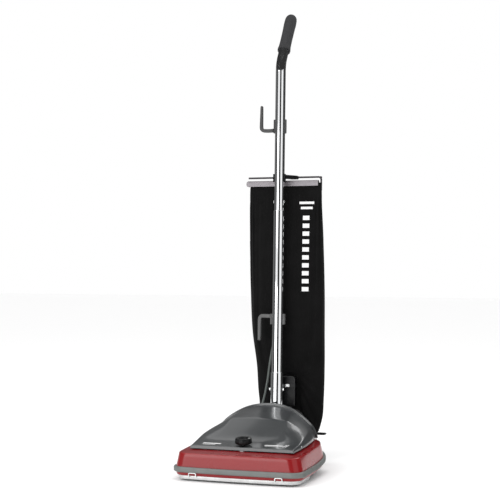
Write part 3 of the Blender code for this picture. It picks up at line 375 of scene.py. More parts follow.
RED = surface(
    "red_enamel", (0.235, 0.007, 0.009), 0.3, tint=(9, 0.04), shine=(18, 0.26, 0.32),
    bump=(260, 1.0, EVEN, 0.00005, 0.12), coat=(0.6, 0.10), specular=0.12,
)
GREY = surface(
    "hood_plastic", (0.045, 0.048, 0.050), 0.33, tint=(14, 0.04), shine=(20, 0.28, 0.34),
    bump=(900, 2.0, EVEN, 0.00008, 0.15), coat=(0.6, 0.12), specular=0.36,
)
BUMPER = moulded("bumper_vinyl", (0.135, 0.145, 0.138), 0.5)
BLACK = moulded("black_moulding", (0.0045, 0.0045, 0.005), 0.36, specular=0.16)
HOOK_DARK = moulded("hook_dark", (0.050, 0.050, 0.050), 0.5, specular=0.35)
HOOK_LIGHT = moulded("hook_light", (0.088, 0.088, 0.088), 0.5, specular=0.35)
CHROME = chrome_plate()
ZINC = surface(
    "zinc_steel", (0.62, 0.63, 0.63), 0.32, tint=(40, 0.12), shine=(220, 0.24, 0.44, (0.1, 1, 1)),
    bump=(500, 3.0, (0.06, 1, 1), 0.0002, 0.3), metallic=1.0,
)
CLAMP = surface(
    "clamp_metal", (0.235, 0.218, 0.232), 0.42, tint=(60, 0.10, 5.0, (0.1, 1, 1)),
    shine=(150, 0.34, 0.52, (0.05, 1, 1)), metallic=0.3, specular=0.4,
)
CAST = surface(
    "cast_metal", (0.36, 0.37, 0.38), 0.5, tint=(50, 0.12), bump=(420, 6.0, EVEN, 0.0005, 0.5), metallic=0.9
)
COPPER = copper_winding()
FOAM = surface(
    "foam_rubber", (0.032, 0.032, 0.034), 0.88, tint=(420, 0.35), bump=(520, 5.0, EVEN, 0.0009, 0.8),
    specular=0.35,
)
CLOTH = bag_cloth()
TAPE = tape_cloth()
LEAD = moulded("lead_sheath", (0.085, 0.098, 0.092), 0.5, 500)
RUBBER = moulded("rubber", (0.015, 0.015, 0.015), 0.7, 500)
WIRE = moulded("hanger_wire", (0.050, 0.046, 0.050), 0.45, 400, specular=0.2)
HAIR = surface(
    "bristle_hair", (0.022, 0.022, 0.022), 0.7, tint=(500, 0.4), bump=(1500, 2.0, EVEN, 0.001, 0.8)
)
WOOD = surface(
    "turned_wood", (0.30, 0.17, 0.08), 0.5, tint=(60, 0.25, 5.0, (0.08, 1, 1)),
    bump=(300, 4.0, (0.05, 1, 1), 0.0002, 0.3),
)
WHITE = surface("print_white", (0.78, 0.78, 0.78), 0.6, tint=(300, 0.05))

SLOT_LOOKS = {
    "red_paint": RED, "grey_plastic": GREY, "bumper_grey": BUMPER, "black_plastic": BLACK,
    "hook_grey": HOOK_DARK, "chrome": CHROME, "steel": ZINC, "cast_aluminium": CAST,
    "copper": COPPER, "rubber": RUBBER, "foam": FOAM, "cloth": CLOTH, "lead_grey": LEAD,
    "bristle": HAIR,
}
for entry in frame["record"]["subparts"]:
    carried = bpy.data.objects[entry["node"]]
    carried.data.materials.clear()
    carried.data.materials.append(SLOT_LOOKS[entry["material_slot"]])

# ================= shape helpers =================


def piece(name, shape, material, body, nodes=(), place=BASE, sharp=35, bevel=0.0):
    """A mesh piece in its place, riding a CAD body and standing for CAD nodes."""
    points, faces = shape
    mesh = bpy.data.meshes.new(name)
    mesh.from_pydata([tuple(p) for p in points], [], faces)
    work = bmesh.new()
    work.from_mesh(mesh)
    bmesh.ops.recalc_face_normals(work, faces=work.faces)
    work.to_mesh(mesh)
    work.free()
    mesh.shade_smooth()
    mesh.set_sharp_from_angle(angle=math.radians(sharp))
    mesh.materials.append(material)
    made = bpy.data.objects.new(name, mesh)
    bpy.context.collection.objects.link(made)
    made.matrix_world = place
    if bevel:
        rounding = made.modifiers.new("edges", "BEVEL")
        rounding.width = bevel
        rounding.segments = 3
        rounding.limit_method = "ANGLE"
        rounding.angle_limit = math.radians(sharp)
        rounding.harden_normals = True
    if body:
        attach(made, body)
    if nodes:
        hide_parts(*nodes)
    return made


def cut_out(solid, name, shape, material):
    """Cuts shape out of one of the base's pieces, with a hidden cutter that rides along."""
    cutter = piece(name, shape, material, None)
    cutter.hide_render = True
    cutter.hide_viewport = True
    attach(cutter, "base")
    hole = solid.modifiers.new("opening", "BOOLEAN")
    hole.object = cutter
    hole.operation = "DIFFERENCE"
    hole.solver = "EXACT"


def joined(*shapes):
    """Several shapes as one; a shape is its points and its faces."""
    points = []
    faces = []
    for more_points, more_faces in shapes:
        start = len(points)
        points += [Vector(p) for p in more_points]
        faces += [[i + start for i in face] for face in more_faces]
    return points, faces


def moved(shape, matrix):
    return [matrix @ Vector(p) for p in shape[0]], shape[1]


def loft(rings, closed=False):
    """Faces between rings of equal count: capped at both ends, or closed into a loop."""
    count = len(rings[0])
    points = [Vector(p) for ring in rings for p in ring]
    faces = []
    last = len(rings) if closed else len(rings) - 1
    for i in range(last):
        here = i * count
        there = ((i + 1) % len(rings)) * count
        for k in range(count):
            n = (k + 1) % count
            faces.append([here + k, here + n, there + n, there + k])
    if not closed:
        faces.append(list(range(count))[::-1])
        faces.append([last * count + k for k in range(count)])
    return points, faces


def prism(outline, low, high, turn=Matrix.Identity(4)):
    """An outline in X and Y, carried from low to high in Z and then turned."""
    rings = [[turn @ Vector((x, y, z)) for x, y in outline] for z in (low, high)]
    return loft(rings)


def block(low, high):
    outline = [(low[0], low[1]), (high[0], low[1]), (high[0], high[1]), (low[0], high[1])]
    return prism(outline, low[2], high[2])


def circle(steps, offset=0.0):
    """The cosine and sine of each of steps even turns."""
    turns = [2 * math.pi * (k + offset) / steps for k in range(steps)]
    return [(math.cos(angle), math.sin(angle)) for angle in turns]


def arc(centre, wide, tall, start, end, steps, first=0):
    """Points on part of an ellipse, its angles in degrees, leaving out those before first."""
    angles = [math.radians(start + (end - start) * k / steps) for k in range(first, steps + 1)]
    return [(centre[0] + wide * math.cos(a), centre[1] + tall * math.sin(a)) for a in angles]


def turned(profile, steps=48, turn=Matrix.Identity(4), at=(0, 0, 0)):
    """A closed lathe shape; profile radii above zero all the way round give a ring."""
    rings = []
    for c, s in circle(steps):
        ring = [(max(r, 1e-5) * c, max(r, 1e-5) * s, z) for r, z in profile]
        rings.append([Vector(at) + turn @ Vector(p) for p in ring])
    return loft(rings, closed=True)


def rod(radius, length, steps=32, turn=Matrix.Identity(4), at=(0, 0, 0), ease=0.0006):
    """A round bar with eased ends, centred on at."""
    h = length / 2
    profile = [
        (0, -h), (radius - ease, -h), (radius, -h + ease), (radius, h - ease), (radius - ease, h), (0, h)
    ]
    return turned(profile, steps, turn, at)


def smooth_path(route, count):
    """Evenly parametrised Catmull-Rom points through the route."""
    points = [Vector(p) for p in route]
    ends = [2 * points[0] - points[1]] + points + [2 * points[-1] - points[-2]]
    spans = len(points) - 1
    made = []
    for step in range(count):
        t = spans * step / (count - 1)
        i = min(int(t), spans - 1)
        u = t - i
        a, b, c, d = ends[i:i + 4]
        made.append(0.5 * (2 * b + (c - a) * u + (2 * a - 5 * b + 4 * c - d) * u * u
                           + (3 * b - a - 3 * c + d) * u * u * u))
    return made


def heading(points, i):
    """The unit direction of a path at its point i."""
    return (Vector(points[min(i + 1, len(points) - 1)]) - Vector(points[max(i - 1, 0)])).normalized()


def swept(points, radius_of, steps=24):
    """Rings along a path, without twist."""
    rings = []
    side = None
    for i, point in enumerate(points):
        ahead = heading(points, i)
        if side is None:
            side = ahead.orthogonal().normalized()
        side = (side - ahead * side.dot(ahead)).normalized()
        up = ahead.cross(side)
        radius = radius_of(i / (len(points) - 1))
        rings.append([point + radius * (c * side + s * up) for c, s in circle(steps)])
    return rings


# ================= base =================


def base_outline(half, front, rear, corner=0.030, round_rear=0.098):
    """The base seen from above: bowed front, small front corners and wide round rear corners."""
    right = []
    flat = half - corner
    for step in range(7):
        share = step / 6
        right.append((flat * share, front + BOW * (flat * share / half) ** 2))
    corner_y = front + BOW * (flat / half) ** 2 + corner
    right += arc((flat, corner_y), corner, corner, -90, 0, 12, 1)
    for share in (0.33, 0.66):
        right.append((half, corner_y + share * (rear - round_rear - corner_y)))
    right += arc((half - round_rear, rear - round_rear), round_rear, round_rear, 0, 90, 32)
    left = [(-x, y) for x, y in right[::-1] if x > 1e-6]
    return right + left


def ledge_z(y):
    """Height of the housing's top edge, which rises towards the rear."""
    return 0.0712 + 0.045 * min(max(y - 0.030, 0.0), 0.22)


def skirt_lift(y):
    """How far the housing's lower edge and the bumper rise towards the rear."""
    share = min(max((y - 0.165) / 0.150, 0.0), 1.0)
    return 0.020 * share * share * (3 - 2 * share)


def skirt_ring(outline, z):
    return [(x, y, z + skirt_lift(y)) for x, y in outline]


def flat_ring(outline, z):
    return [(x, y, z) for x, y in outline]


def ledge_ring(half, front, rear, lift, round_rear):
    return [(x, y, ledge_z(y) + lift) for x, y in base_outline(half, front, rear, round_rear=round_rear)]


def make_housing():
    """The painted shell: upright skirt, sloping side, rounded edge with a bead, and a narrow ledge."""
    low, wide = 0.0145, 0.168
    rings = [skirt_ring(base_outline(wide - 0.0015, 0.0065, BASE_REAR - 0.0015), low)]
    rings.append(skirt_ring(base_outline(wide - 0.0001, 0.0047, BASE_REAR), 0.0170))
    rings.append(skirt_ring(base_outline(wide, 0.0045, BASE_REAR), 0.0215))
    rings.append(skirt_ring(base_outline(wide, 0.0045, BASE_REAR), 0.0370))
    for share in (0.06, 0.25, 0.5, 0.75, 0.95):
        outline = base_outline(
            wide - 0.0069 * share, 0.0045 + 0.0016 * share, BASE_REAR - 0.0038 * share,
            round_rear=0.098 - 0.004 * share
        )
        ring = []
        for x, y in outline:
            start = 0.0370 + skirt_lift(y)
            ring.append((x, y, start + (ledge_z(y) - 0.0026 - start) * share))
        rings.append(ring)
    for inset, lift, front in (
        (0.0070, -0.0024, 0.0063), (0.0074, -0.0015, 0.0068), (0.0080, -0.0007, 0.0075),
        (0.0088, -0.0001, 0.0084), (0.0098, 0.0000, 0.0094), (0.0104, -0.0009, 0.0099),
        (0.0112, -0.0009, 0.0107), (0.0117, 0.0001, 0.0112),
    ):
        rings.append(ledge_ring(wide - inset, front, BASE_REAR - inset * 0.65, lift, 0.096 - 0.3 * inset))
    rings.append(ledge_ring(0.128, 0.0555, 0.282, 0.0025, 0.085))
    rings.append(ledge_ring(0.128, 0.0555, 0.282, 0.0003, 0.085))
    rings.append(ledge_ring(0.1555, 0.0125, BASE_REAR - 0.010, -0.0037, 0.091))
    rings.append(skirt_ring(base_outline(0.164, 0.0085, BASE_REAR - 0.004, round_rear=0.096), 0.0365))
    rings.append(skirt_ring(base_outline(0.164, 0.0085, BASE_REAR - 0.004, round_rear=0.096), low))
    lugs = joined(
        block((0.0920, 0.2860, 0.0650), (0.0980, 0.3330, 0.0850)),
        block((0.0920, 0.3140, 0.0750), (0.0980, 0.3330, 0.0990)),
        block((0.0970, 0.2900, 0.0650), (0.1260, 0.3440, 0.0680)),
    )
    piece("base_shell", loft(rings, closed=True), RED, "base", ("base_housing",), sharp=40)
    piece("pedal_bracket", lugs, RED, "base", sharp=40, bevel=0.0012)


def make_bumper():
    """The vinyl strip along the sides and front, with rounded edges and capped ends."""
    low, high = 0.0225, 0.0363
    section = [(-0.0003, low), (-0.0003, high), (0.0030, high)]
    section += arc((0.0030, high - 0.0036), 0.0034, 0.0036, 90, 0, 6)
    section += arc((0.0030, low + 0.0036), 0.0034, 0.0036, 0, -90, 6)
    path = [p for p in base_outline(0.168, 0.0045, BASE_REAR) if p[1] < 0.2755]
    middle = next(i for i, p in enumerate(path) if p[0] < 0)
    path = path[middle:] + path[:middle]
    rings = []
    for i, (x, y) in enumerate(path):
        ahead = heading(path, i)
        out = Vector((ahead.y, -ahead.x))
        thin = 0.61 + 0.39 * abs(out.x)
        reach = [(o * thin + 0.0006, z + skirt_lift(y)) for o, z in section]
        rings.append([(x + out.x * far, y + out.y * far, z) for far, z in reach])
    piece("bumper_strip", loft(rings), BUMPER, "base", ("bumper",), sharp=50)


def make_bottom_plate():
    """The stamped tray under the brush chamber, its ribs, and its two hooked tabs."""
    def tray(inset):
        full = base_outline(0.1635 - inset, 0.0065 + inset, BASE_REAR)
        right = [p for p in full[:len(full) // 2 + 1] if p[1] < 0.09 and p[0] >= 0]
        left = [(-x, y) for x, y in right[::-1] if x > 1e-6]
        return right + [(right[-1][0], 0.112 - inset), (-right[-1][0], 0.112 - inset)] + left

    top = 0.0142
    rings = [
        flat_ring(tray(0.0016), 0.0050), flat_ring(tray(0.0004), 0.0056), flat_ring(tray(0.0), 0.0070),
        flat_ring(tray(0.0), top), flat_ring(tray(0.0014), top), flat_ring(tray(0.0014), 0.0064),
    ]
    plate = piece("sole_plate", loft(rings), ZINC, "base", ("bottom_plate",), sharp=40)
    openings = joined(
        block((-0.151, 0.0265, 0), (0.151, 0.086, 0.02)),
        block((0.1015, 0.1080, 0.0078), (0.1340, 0.1150, 0.0111)),
        block((-0.1340, 0.1080, 0.0078), (-0.1015, 0.1150, 0.0111)),
    )
    cut_out(plate, "plate_cutter", openings, ZINC)
    bars = []
    for x in (-0.112, -0.056, 0.056, 0.112):
        bars.append(block((x - 0.0025, 0.0250, 0.0052), (x + 0.0025, 0.0875, 0.0066)))
    piece("plate_guards", joined(*bars), ZINC, "base", bevel=0.0004)
    y = 0.0043
    tabs = []
    for side in (-1, 1):
        x = side * 0.114
        path = [(x - 0.0098, 0.0128), (x - 0.0092, 0.0200), (x - 0.0080, 0.0214), (x - 0.0060, 0.0218)]
        path += [(2 * x - px, z) for px, z in path[::-1]]
        rings = []
        for i, (px, z) in enumerate(path):
            across = heading(path, i).orthogonal() * 0.0013
            ring = [(px + across.x, y, z + across.y), (px + across.x, y + 0.0012, z + across.y)]
            ring += [(px - across.x, y + 0.0012, z - across.y), (px - across.x, y, z - across.y)]
            rings.append(ring)
        tabs.append(loft(rings))
        tabs.append(block((x - 0.0112, y, 0.0118), (x - 0.0084, 0.0112, 0.0134)))
        tabs.append(block((x + 0.0084, y, 0.0118), (x + 0.0112, 0.0112, 0.0134)))
    piece("plate_tabs", joined(*tabs), ZINC, "base", sharp=50, bevel=0.0003)


def make_latches():
    """Turning levers that hold the bottom plate, each on its stem."""
    for word, side in SIDES:
        outline = [
            (-0.006, -0.016), (0.006, -0.016), (0.008, 0.0), (0.006, 0.006), (-0.006, 0.006), (-0.008, 0)
        ]
        leaf = prism([(side * 0.110 + x, 0.121 + y) for x, y in outline], 0.0085, 0.0103)
        stem = rod(0.003, 0.0276, 24, at=(side * 0.110, 0.121, 0.0218))
        node = f"plate_latch_{word}"
        piece(f"{node}_lever", joined(leaf, stem), ZINC, f"latch_{word}", (node,), bevel=0.0004)


make_housing()
make_bumper()
make_bottom_plate()
make_latches()

# ================= hood =================


def hood_rows():
    """Cross rows of the hood from its front lip to its rear edge, right edge to centre."""
    lip_foot = ledge_z(0.0540) + 0.0045
    rows = [[Vector((x, 0.0540, lip_foot)) for x in (0.1390, 0.1385, 0.1350, 0.1240, 0.098, 0.05, 0.0)]]
    # each row: y, foot x, height of the upright foot, then (x, z) of the points up to the middle
    table = [
        (0.0550, 0.1390, 0.0070,
         (0.1350, 0.0850), (0.1240, 0.0852), (0.098, 0.0853), (0.050, 0.0854), (0, 0.0854)),
        (0.0790, 0.1410, 0.0065,
         (0.1375, 0.0882), (0.1250, 0.0888), (0.098, 0.0890), (0.050, 0.0890), (0, 0.0890)),
        (0.1030, 0.1430, 0.0070,
         (0.1390, 0.0915), (0.1250, 0.0922), (0.096, 0.0925), (0.050, 0.0925), (0, 0.0925)),
        (0.1250, 0.1445, 0.0075,
         (0.1395, 0.0960), (0.1210, 0.0995), (0.092, 0.1010), (0.048, 0.1000), (0, 0.0998)),
        (0.1500, 0.1455, 0.0080,
         (0.1390, 0.1015), (0.1150, 0.1090), (0.086, 0.1135), (0.045, 0.1155), (0, 0.1162)),
        (0.1750, 0.1455, 0.0085,
         (0.1375, 0.1055), (0.1120, 0.1155), (0.080, 0.1275), (0.042, 0.1305), (0, 0.1314)),
        (0.1945, 0.1450, 0.0090,
         (0.1355, 0.1085), (0.1110, 0.1195), (0.077, 0.1393), (0.040, 0.1418), (0, 0.1424)),
        (0.2300, 0.1425, 0.0090,
         (0.1325, 0.1125), (0.1110, 0.1260), (0.074, 0.1452), (0.038, 0.1502), (0, 0.1522)),
    ]
    for y, foot_x, rise, *upper in table:
        foot = ledge_z(y) + 0.0045
        row = [Vector((foot_x, y, foot)), Vector((foot_x - 0.0008, y, foot + rise))]
        rows.append(row + [Vector((x, y, z)) for x, z in upper])
    rear_foot = ledge_z(0.27) + 0.0045
    rows.append([
        Vector((0.1340, 0.272, rear_foot)), Vector((0.1330, 0.270, rear_foot + 0.009)),
        Vector((0.1250, 0.268, 0.1130)), Vector((0.1080, 0.268, 0.1310)),
        Vector((0.0690, 0.282, 0.1545)), Vector((0.0380, 0.292, 0.1625)), Vector((0, 0.296, 0.1662)),
    ])
    return rows


def raised(row, lift, back):
    """A row moved outwards by lift and rearwards by back, its foot kept at its height."""
    axis_z = 0.075
    made = []
    for point in row:
        out = Vector((point.x, 0, point.z - axis_z)).normalized()
        made.append(point + lift * out + Vector((0, back, 0)))
    made[0].z = row[0].z
    return made


def mirrored(row):
    return row + [Vector((-p.x, p.y, p.z)) for p in row[-2::-1]]


def make_hood():
    """A moulded shell: subdivision surface over the cross rows, with creases at its hard edges."""
    rows = hood_rows()
    last = rows[-1]
    rows += [
        raised(last, 0.0008, 0.0002), raised(last, 0.0058, 0.0006), raised(last, 0.0062, 0.0012),
        raised(last, 0.0062, 0.0044), raised(last, 0.0055, 0.0050), raised(last, 0.0000, 0.0050),
    ]
    grid = [mirrored(row) for row in rows]
    columns = len(grid[0])
    points = [p for row in grid for p in row]
    faces = []
    for r in range(len(grid) - 1):
        for c in range(columns - 1):
            a = r * columns + c
            faces.append([a, a + columns, a + columns + 1, a + 1])
    hood = piece("hood_shell", (points, faces), GREY, "base", ("hood",), sharp=180)
    mesh = hood.data
    crease = mesh.attributes.new("crease_edge", "FLOAT", "EDGE")
    # along the rows: the lip's top edge, the break below the crown, then the rear rim
    row_crease = {1: 0.70, 7: 0.80, 9: 0.95, 10: 0.7, 11: 0.7, 12: 0.6, 13: 0.6}
    # across the rows: the top of the foot, the shoulder, and the edge of the raised middle
    column_crease = {1: 0.25, 2: 0.50, 4: 0.55}
    for edge in mesh.edges:
        a, b = sorted(edge.vertices)
        row_a, column_a = divmod(a, columns)
        row_b, column_b = divmod(b, columns)
        if row_a == row_b:
            inner = min(column_a, columns - 1 - column_b)
            strength = row_crease.get(row_a, 0.0)
            if row_a == 7 and inner < 3:
                strength = 0.15
            crease.data[edge.index].value = strength
        else:
            side = min(column_a, columns - 1 - column_a)
            strength = column_crease.get(side, 0.0)
            if side == 4 and not 4 <= row_a <= 8:
                strength = 0.0
            crease.data[edge.index].value = strength
    smooth = hood.modifiers.new("smooth", "SUBSURF")
    smooth.levels = 3
    smooth.render_levels = 3
    wall = hood.modifiers.new("wall", "SOLIDIFY")
    wall.thickness = 0.0026
    wall.offset = -1
    return hood


def surface_of(obj):
    """A ray-casting tree of an object's evaluated mesh, in world space."""
    graph = bpy.context.evaluated_depsgraph_get()
    graph.update()
    seen = obj.evaluated_get(graph)
    mesh = seen.to_mesh()
    mesh.calc_loop_triangles()
    points = [obj.matrix_world @ v.co for v in mesh.vertices]
    triangles = [tuple(t.vertices) for t in mesh.loop_triangles]
    seen.to_mesh_clear()
    return BVHTree.FromPolygons(points, triangles)


def laid_bar(name, tree, corners, direction, body, proud=0.00018, steps=(24, 4), nodes=()):
    """A thin printed bar between four corners (in world space), laid onto a surface along a direction."""
    a, b, c, d = [Vector(p) for p in corners]
    across, along = steps
    front = []
    for i in range(across + 1):
        for k in range(along + 1):
            s, t = i / across, k / along
            start = (a * (1 - s) + b * s) * (1 - t) + (d * (1 - s) + c * s) * t
            hit, normal, _, _ = tree.ray_cast(start, Vector(direction))
            if hit is None:
                hit, normal = tree.find_nearest(start)[:2]
            if normal.dot(Vector(direction)) > 0:
                normal = -normal
            front.append((hit + normal * proud, hit - normal * 0.0002))
    rings = along + 1
    points = [p for p, _ in front] + [q for _, q in front]
    faces = []
    shift = len(front)
    for i in range(across):
        for k in range(along):
            n = i * rings + k
            faces.append([n, n + 1, n + 1 + rings, n + rings])
            faces.append([n + shift, n + rings + shift, n + 1 + rings + shift, n + 1 + shift])
    border = [i * rings for i in range(across + 1)] + [across * rings + k for k in range(1, rings)]
    border += [i * rings + along for i in range(across - 1, -1, -1)] + [k for k in range(along - 1, 0, -1)]
    for n, m in zip(border, border[1:] + border[:1]):
        faces.append([n, m, m + shift, n + shift])
    return piece(name, (points, faces), WHITE, body, nodes, Matrix.Identity(4), sharp=60)


def make_hood_marks(hood):
    """Plain printed bars where a machine of this kind carries its print."""
    tree = surface_of(hood)
    down = (0, 0, -1)
    bars = {
        "hood_bar_left_wide": (-0.1120, -0.0640, 0.0745, 0.0800),
        "hood_bar_left_thin": (-0.1110, -0.0760, 0.0665, 0.0685),
        "hood_bar_right": (0.0530, 0.1010, 0.0800, 0.0850),
        "hood_bar_right_thin": (0.0560, 0.0900, 0.0730, 0.0744),
    }
    lean = 0.0020
    for name, (left, right, front, back) in bars.items():
        corners = [
            (left, front, 0.2), (right, front, 0.2), (right + lean, back, 0.2), (left + lean, back, 0.2)
        ]
        laid_bar(name, tree, [BASE @ Vector(p) for p in corners], down, "base")
    for number, left in enumerate((0.1035, 0.1090)):
        corners = [
            (left, 0.0730, 0.2), (left + 0.0022, 0.0730, 0.2), (left + 0.0072, 0.0930, 0.2),
            (left + 0.0052, 0.0930, 0.2),
        ]
        laid_bar(
            f"hood_slash_{number + 1}", tree, [BASE @ Vector(p) for p in corners], down, "base",
            steps=(3, 10),
        )
    return tree


def make_hood_screws(tree):
    """Cross-head screws through the hood's side feet."""
    number = 0
    for side in (-1, 1):
        for y in (0.112, 0.232):
            start = BASE @ Vector((side * 0.30, y, ledge_z(y) + 0.0095))
            hit, normal, _, _ = tree.ray_cast(start, Vector((-side, 0, 0)))
            number += 1
            turn = normal.to_track_quat("Z", "Y").to_matrix().to_4x4()
            head = turned(
                [(0, -0.001), (0.0034, -0.001), (0.0034, 0.0003), (0.0026, 0.0011), (0, 0.0014)], 32
            )
            slots = joined(block((-0.0018, -0.0004, 0.0010), (0.0018, 0.0004, 0.0016)),
                           block((-0.0004, -0.0018, 0.0010), (0.0004, 0.0018, 0.0016)))
            place = Matrix.Translation(hit) @ turn
            piece(f"hood_screw_{number}", head, ZINC, "base", place=place)
            piece(f"hood_screw_slot_{number}", slots, BLACK, "base", place=place)


def make_rear_cover():
    """The black back panel under the hood's rear edge, its opening crossed by slanted louvres."""
    half = 0.108
    count = 36
    rings = []
    row = hood_rows()[-1][1:]

    def inner_top(x):
        for outer, inner in zip(row, row[1:]):
            if inner.x <= x <= outer.x:
                share = (x - inner.x) / (outer.x - inner.x)
                return inner.y + share * (outer.y - inner.y), inner.z + share * (outer.z - inner.z)
        return row[0].y, row[0].z

    for i in range(count + 1):
        x = -half + 2 * half * i / count
        y, z = inner_top(abs(x))
        y -= 0.006
        low, high = ledge_z(0.27) + 0.0055, z - 0.0062
        rings.append([(x, y, low), (x, y, high), (x, y - 0.0022, high), (x, y - 0.0022, low)])
    cover = piece("back_panel", loft(rings), BLACK, "base", ("rear_cover",), sharp=40)
    cut_out(cover, "panel_cutter", block((-0.0480, 0.25, 0.1170), (0.0480, 0.31, 0.1460)), BLACK)
    slats = []
    for number in range(6):
        z = 0.1195 + 0.0048 * number
        section = [(0.2838, z - 0.0012), (0.2885, z + 0.0012), (0.2885, z + 0.0022), (0.2838, z - 0.0002)]
        slats.append(loft([[(x, y, zz) for y, zz in section] for x in (-0.0485, 0.0485)]))
    piece("back_louvres", joined(*slats), BLACK, "base", sharp=40, bevel=0.0002)


def make_knob():
    """The height knob: fluted skirt, rounded rim, dished top with a raised boss, and a white pointer."""
    steps = 96
    profile = [
        (0.0, 0.0046, 0), (0.0200, 0.0046, 0.3), (0.0212, 0.0052, 0.8), (0.0218, 0.0066, 1),
        (0.0216, 0.0120, 1), (0.0212, 0.0164, 0.8), (0.0203, 0.0180, 0.4), (0.0190, 0.0187, 0.1),
        (0.0150, 0.0188, 0), (0.0122, 0.0184, 0), (0.0112, 0.0172, 0), (0.0106, 0.0150, 0),
        (0.0085, 0.0140, 0), (0.0055, 0.0140, 0), (0.0045, 0.0152, 0), (0.0, 0.0154, 0),
    ]
    rings = []
    for step, (c, s) in enumerate(circle(steps)):
        flute = 0.0007 * (1 + math.cos(16 * 2 * math.pi * step / steps)) / 2
        radii = [(max(r, 1e-5) - flute * depth, z) for r, z, depth in profile]
        rings.append([(r * c, r * s, z) for r, z in radii])
    stem = rod(0.0045, 0.0132, 32, at=(0, 0, -0.0018))
    knob = joined(loft(rings, closed=True), stem)
    piece("knob_body", knob, BLACK, "knob", ("height_knob",), KNOB, sharp=50)
    pointer = block((0.0132, -0.0007, 0.0185), (0.0186, 0.0007, 0.01905))
    piece("knob_pointer", pointer, WHITE, "knob", place=KNOB, bevel=0.0002)


hood = make_hood()
hood_tree = make_hood_marks(hood)
make_hood_screws(hood_tree)
make_rear_cover()
make_knob()

# ================= rear of the base =================

PIVOT_BASE = PIVOT - Vector((0, FRONT_Y, 0))


def at_both_ends(head, reach, centre):
    """Two copies of a bolt's head, facing outwards on a shaft along X."""
    placed = []
    for _, side in SIDES:
        turn = Matrix.Rotation(math.radians(90 * side), 4, "Y")
        placed.append(moved(head, Matrix.Translation(Vector(centre) + Vector((side * reach, 0, 0))) @ turn))
    return placed


def washer_head(across, tall):
    """A hexagon bolt head on its washer, its face towards +Z."""
    corners = [(across / math.sqrt(3) * c, across / math.sqrt(3) * s) for c, s in circle(6)]
    head = prism(corners, 0.0004, tall)
    washer = turned([(0, 0), (across * 0.62, 0), (across * 0.62, 0.0005), (0, 0.0006)], 40)
    return joined(head, washer)


def make_elbow():
    """The exhaust pipe, from the fan chamber back and up to the bag's boot."""
    route = smooth_path(
        [(0.068, 0.2835, 0.0595), (0.068, 0.330, 0.0595), (0.068, 0.358, 0.068), (0.068, 0.371, 0.0895)], 40
    )
    outer = swept(route, lambda t: 0.0162 + (0.0003 if t > 0.93 or 0.52 < t < 0.56 else 0), 48)
    inner = swept(route, lambda t: 0.0145, 48)
    shape = loft(outer + inner[::-1], closed=True)
    piece("exhaust_pipe", shape, BLACK, "base", ("exhaust_elbow",), sharp=50)


def make_bracket():
    """A cast cross beam with two arms that carry the pivot pin."""
    low = ledge_z(0.3) + 0.0035
    beam = block((-0.0445, 0.2945, low), (0.0445, 0.3085, 0.108))
    arms = []
    for side in (-1, 1):
        start = 0.0360 if side > 0 else -0.0445
        arm = [(0.2955, 0.0935), (PIVOT_BASE.y - 0.004, 0.0862)]
        arm += arc(PIVOT_BASE.yz, 0.0138, 0.0138, -100, 100, 14)
        arm += [(PIVOT_BASE.y - 0.004, 0.1138), (0.2955, 0.1079)]
        arms.append(prism(arm, start, start + 0.0085, SIDE_ON))
    piece("pivot_beam", beam, CAST, "base", ("handle_bracket",), sharp=30, bevel=0.0012)
    piece("pivot_arms", joined(*arms), CAST, "base", sharp=30, bevel=0.0012)
    shaft = rod(0.0040, 0.0930, 40, ALONG_X, PIVOT_BASE)
    dome = [(0, 0), (0.0064, 0), (0.0064, 0.0012), (0.0052, 0.0024), (0.003, 0.0029), (0, 0.0030)]
    heads = at_both_ends(turned(dome, 40), 0.0453, PIVOT_BASE)
    piece("pivot_shaft", joined(shaft, *heads), ZINC, "base", ("pivot_pin",), sharp=40)


def make_gland():
    """The ribbed rubber bush where the motor lead enters the hood."""
    profile = [
        (0.0037, 0.0095), (0.0075, 0.0095), (0.0075, 0.0118), (0.0069, 0.0125), (0.0062, 0.0150),
        (0.0066, 0.0160), (0.0059, 0.0172), (0.0055, 0.0186), (0.0060, 0.0197), (0.0052, 0.0210),
        (0.0050, 0.0236), (0.0044, 0.0240), (0.0037, 0.0240),
    ]
    shape = turned(profile, 40, ALONG_Y, (-0.056, 0.2760, 0.112))
    piece("lead_bush", shape, RUBBER, "base", ("lead_gland",), sharp=40)


def helix(foot, radius, tall, turns, wire, each=20, around=10):
    """An upright wire spring standing on foot."""
    steps = int(turns * each)
    line = []
    for step in range(steps + 1):
        angle = 2 * math.pi * step / each
        c, s = math.cos(angle), math.sin(angle)
        line.append(Vector(foot) + Vector((radius * c, radius * s, tall * step / steps)))
    return loft(swept(line, lambda t: wire, around))


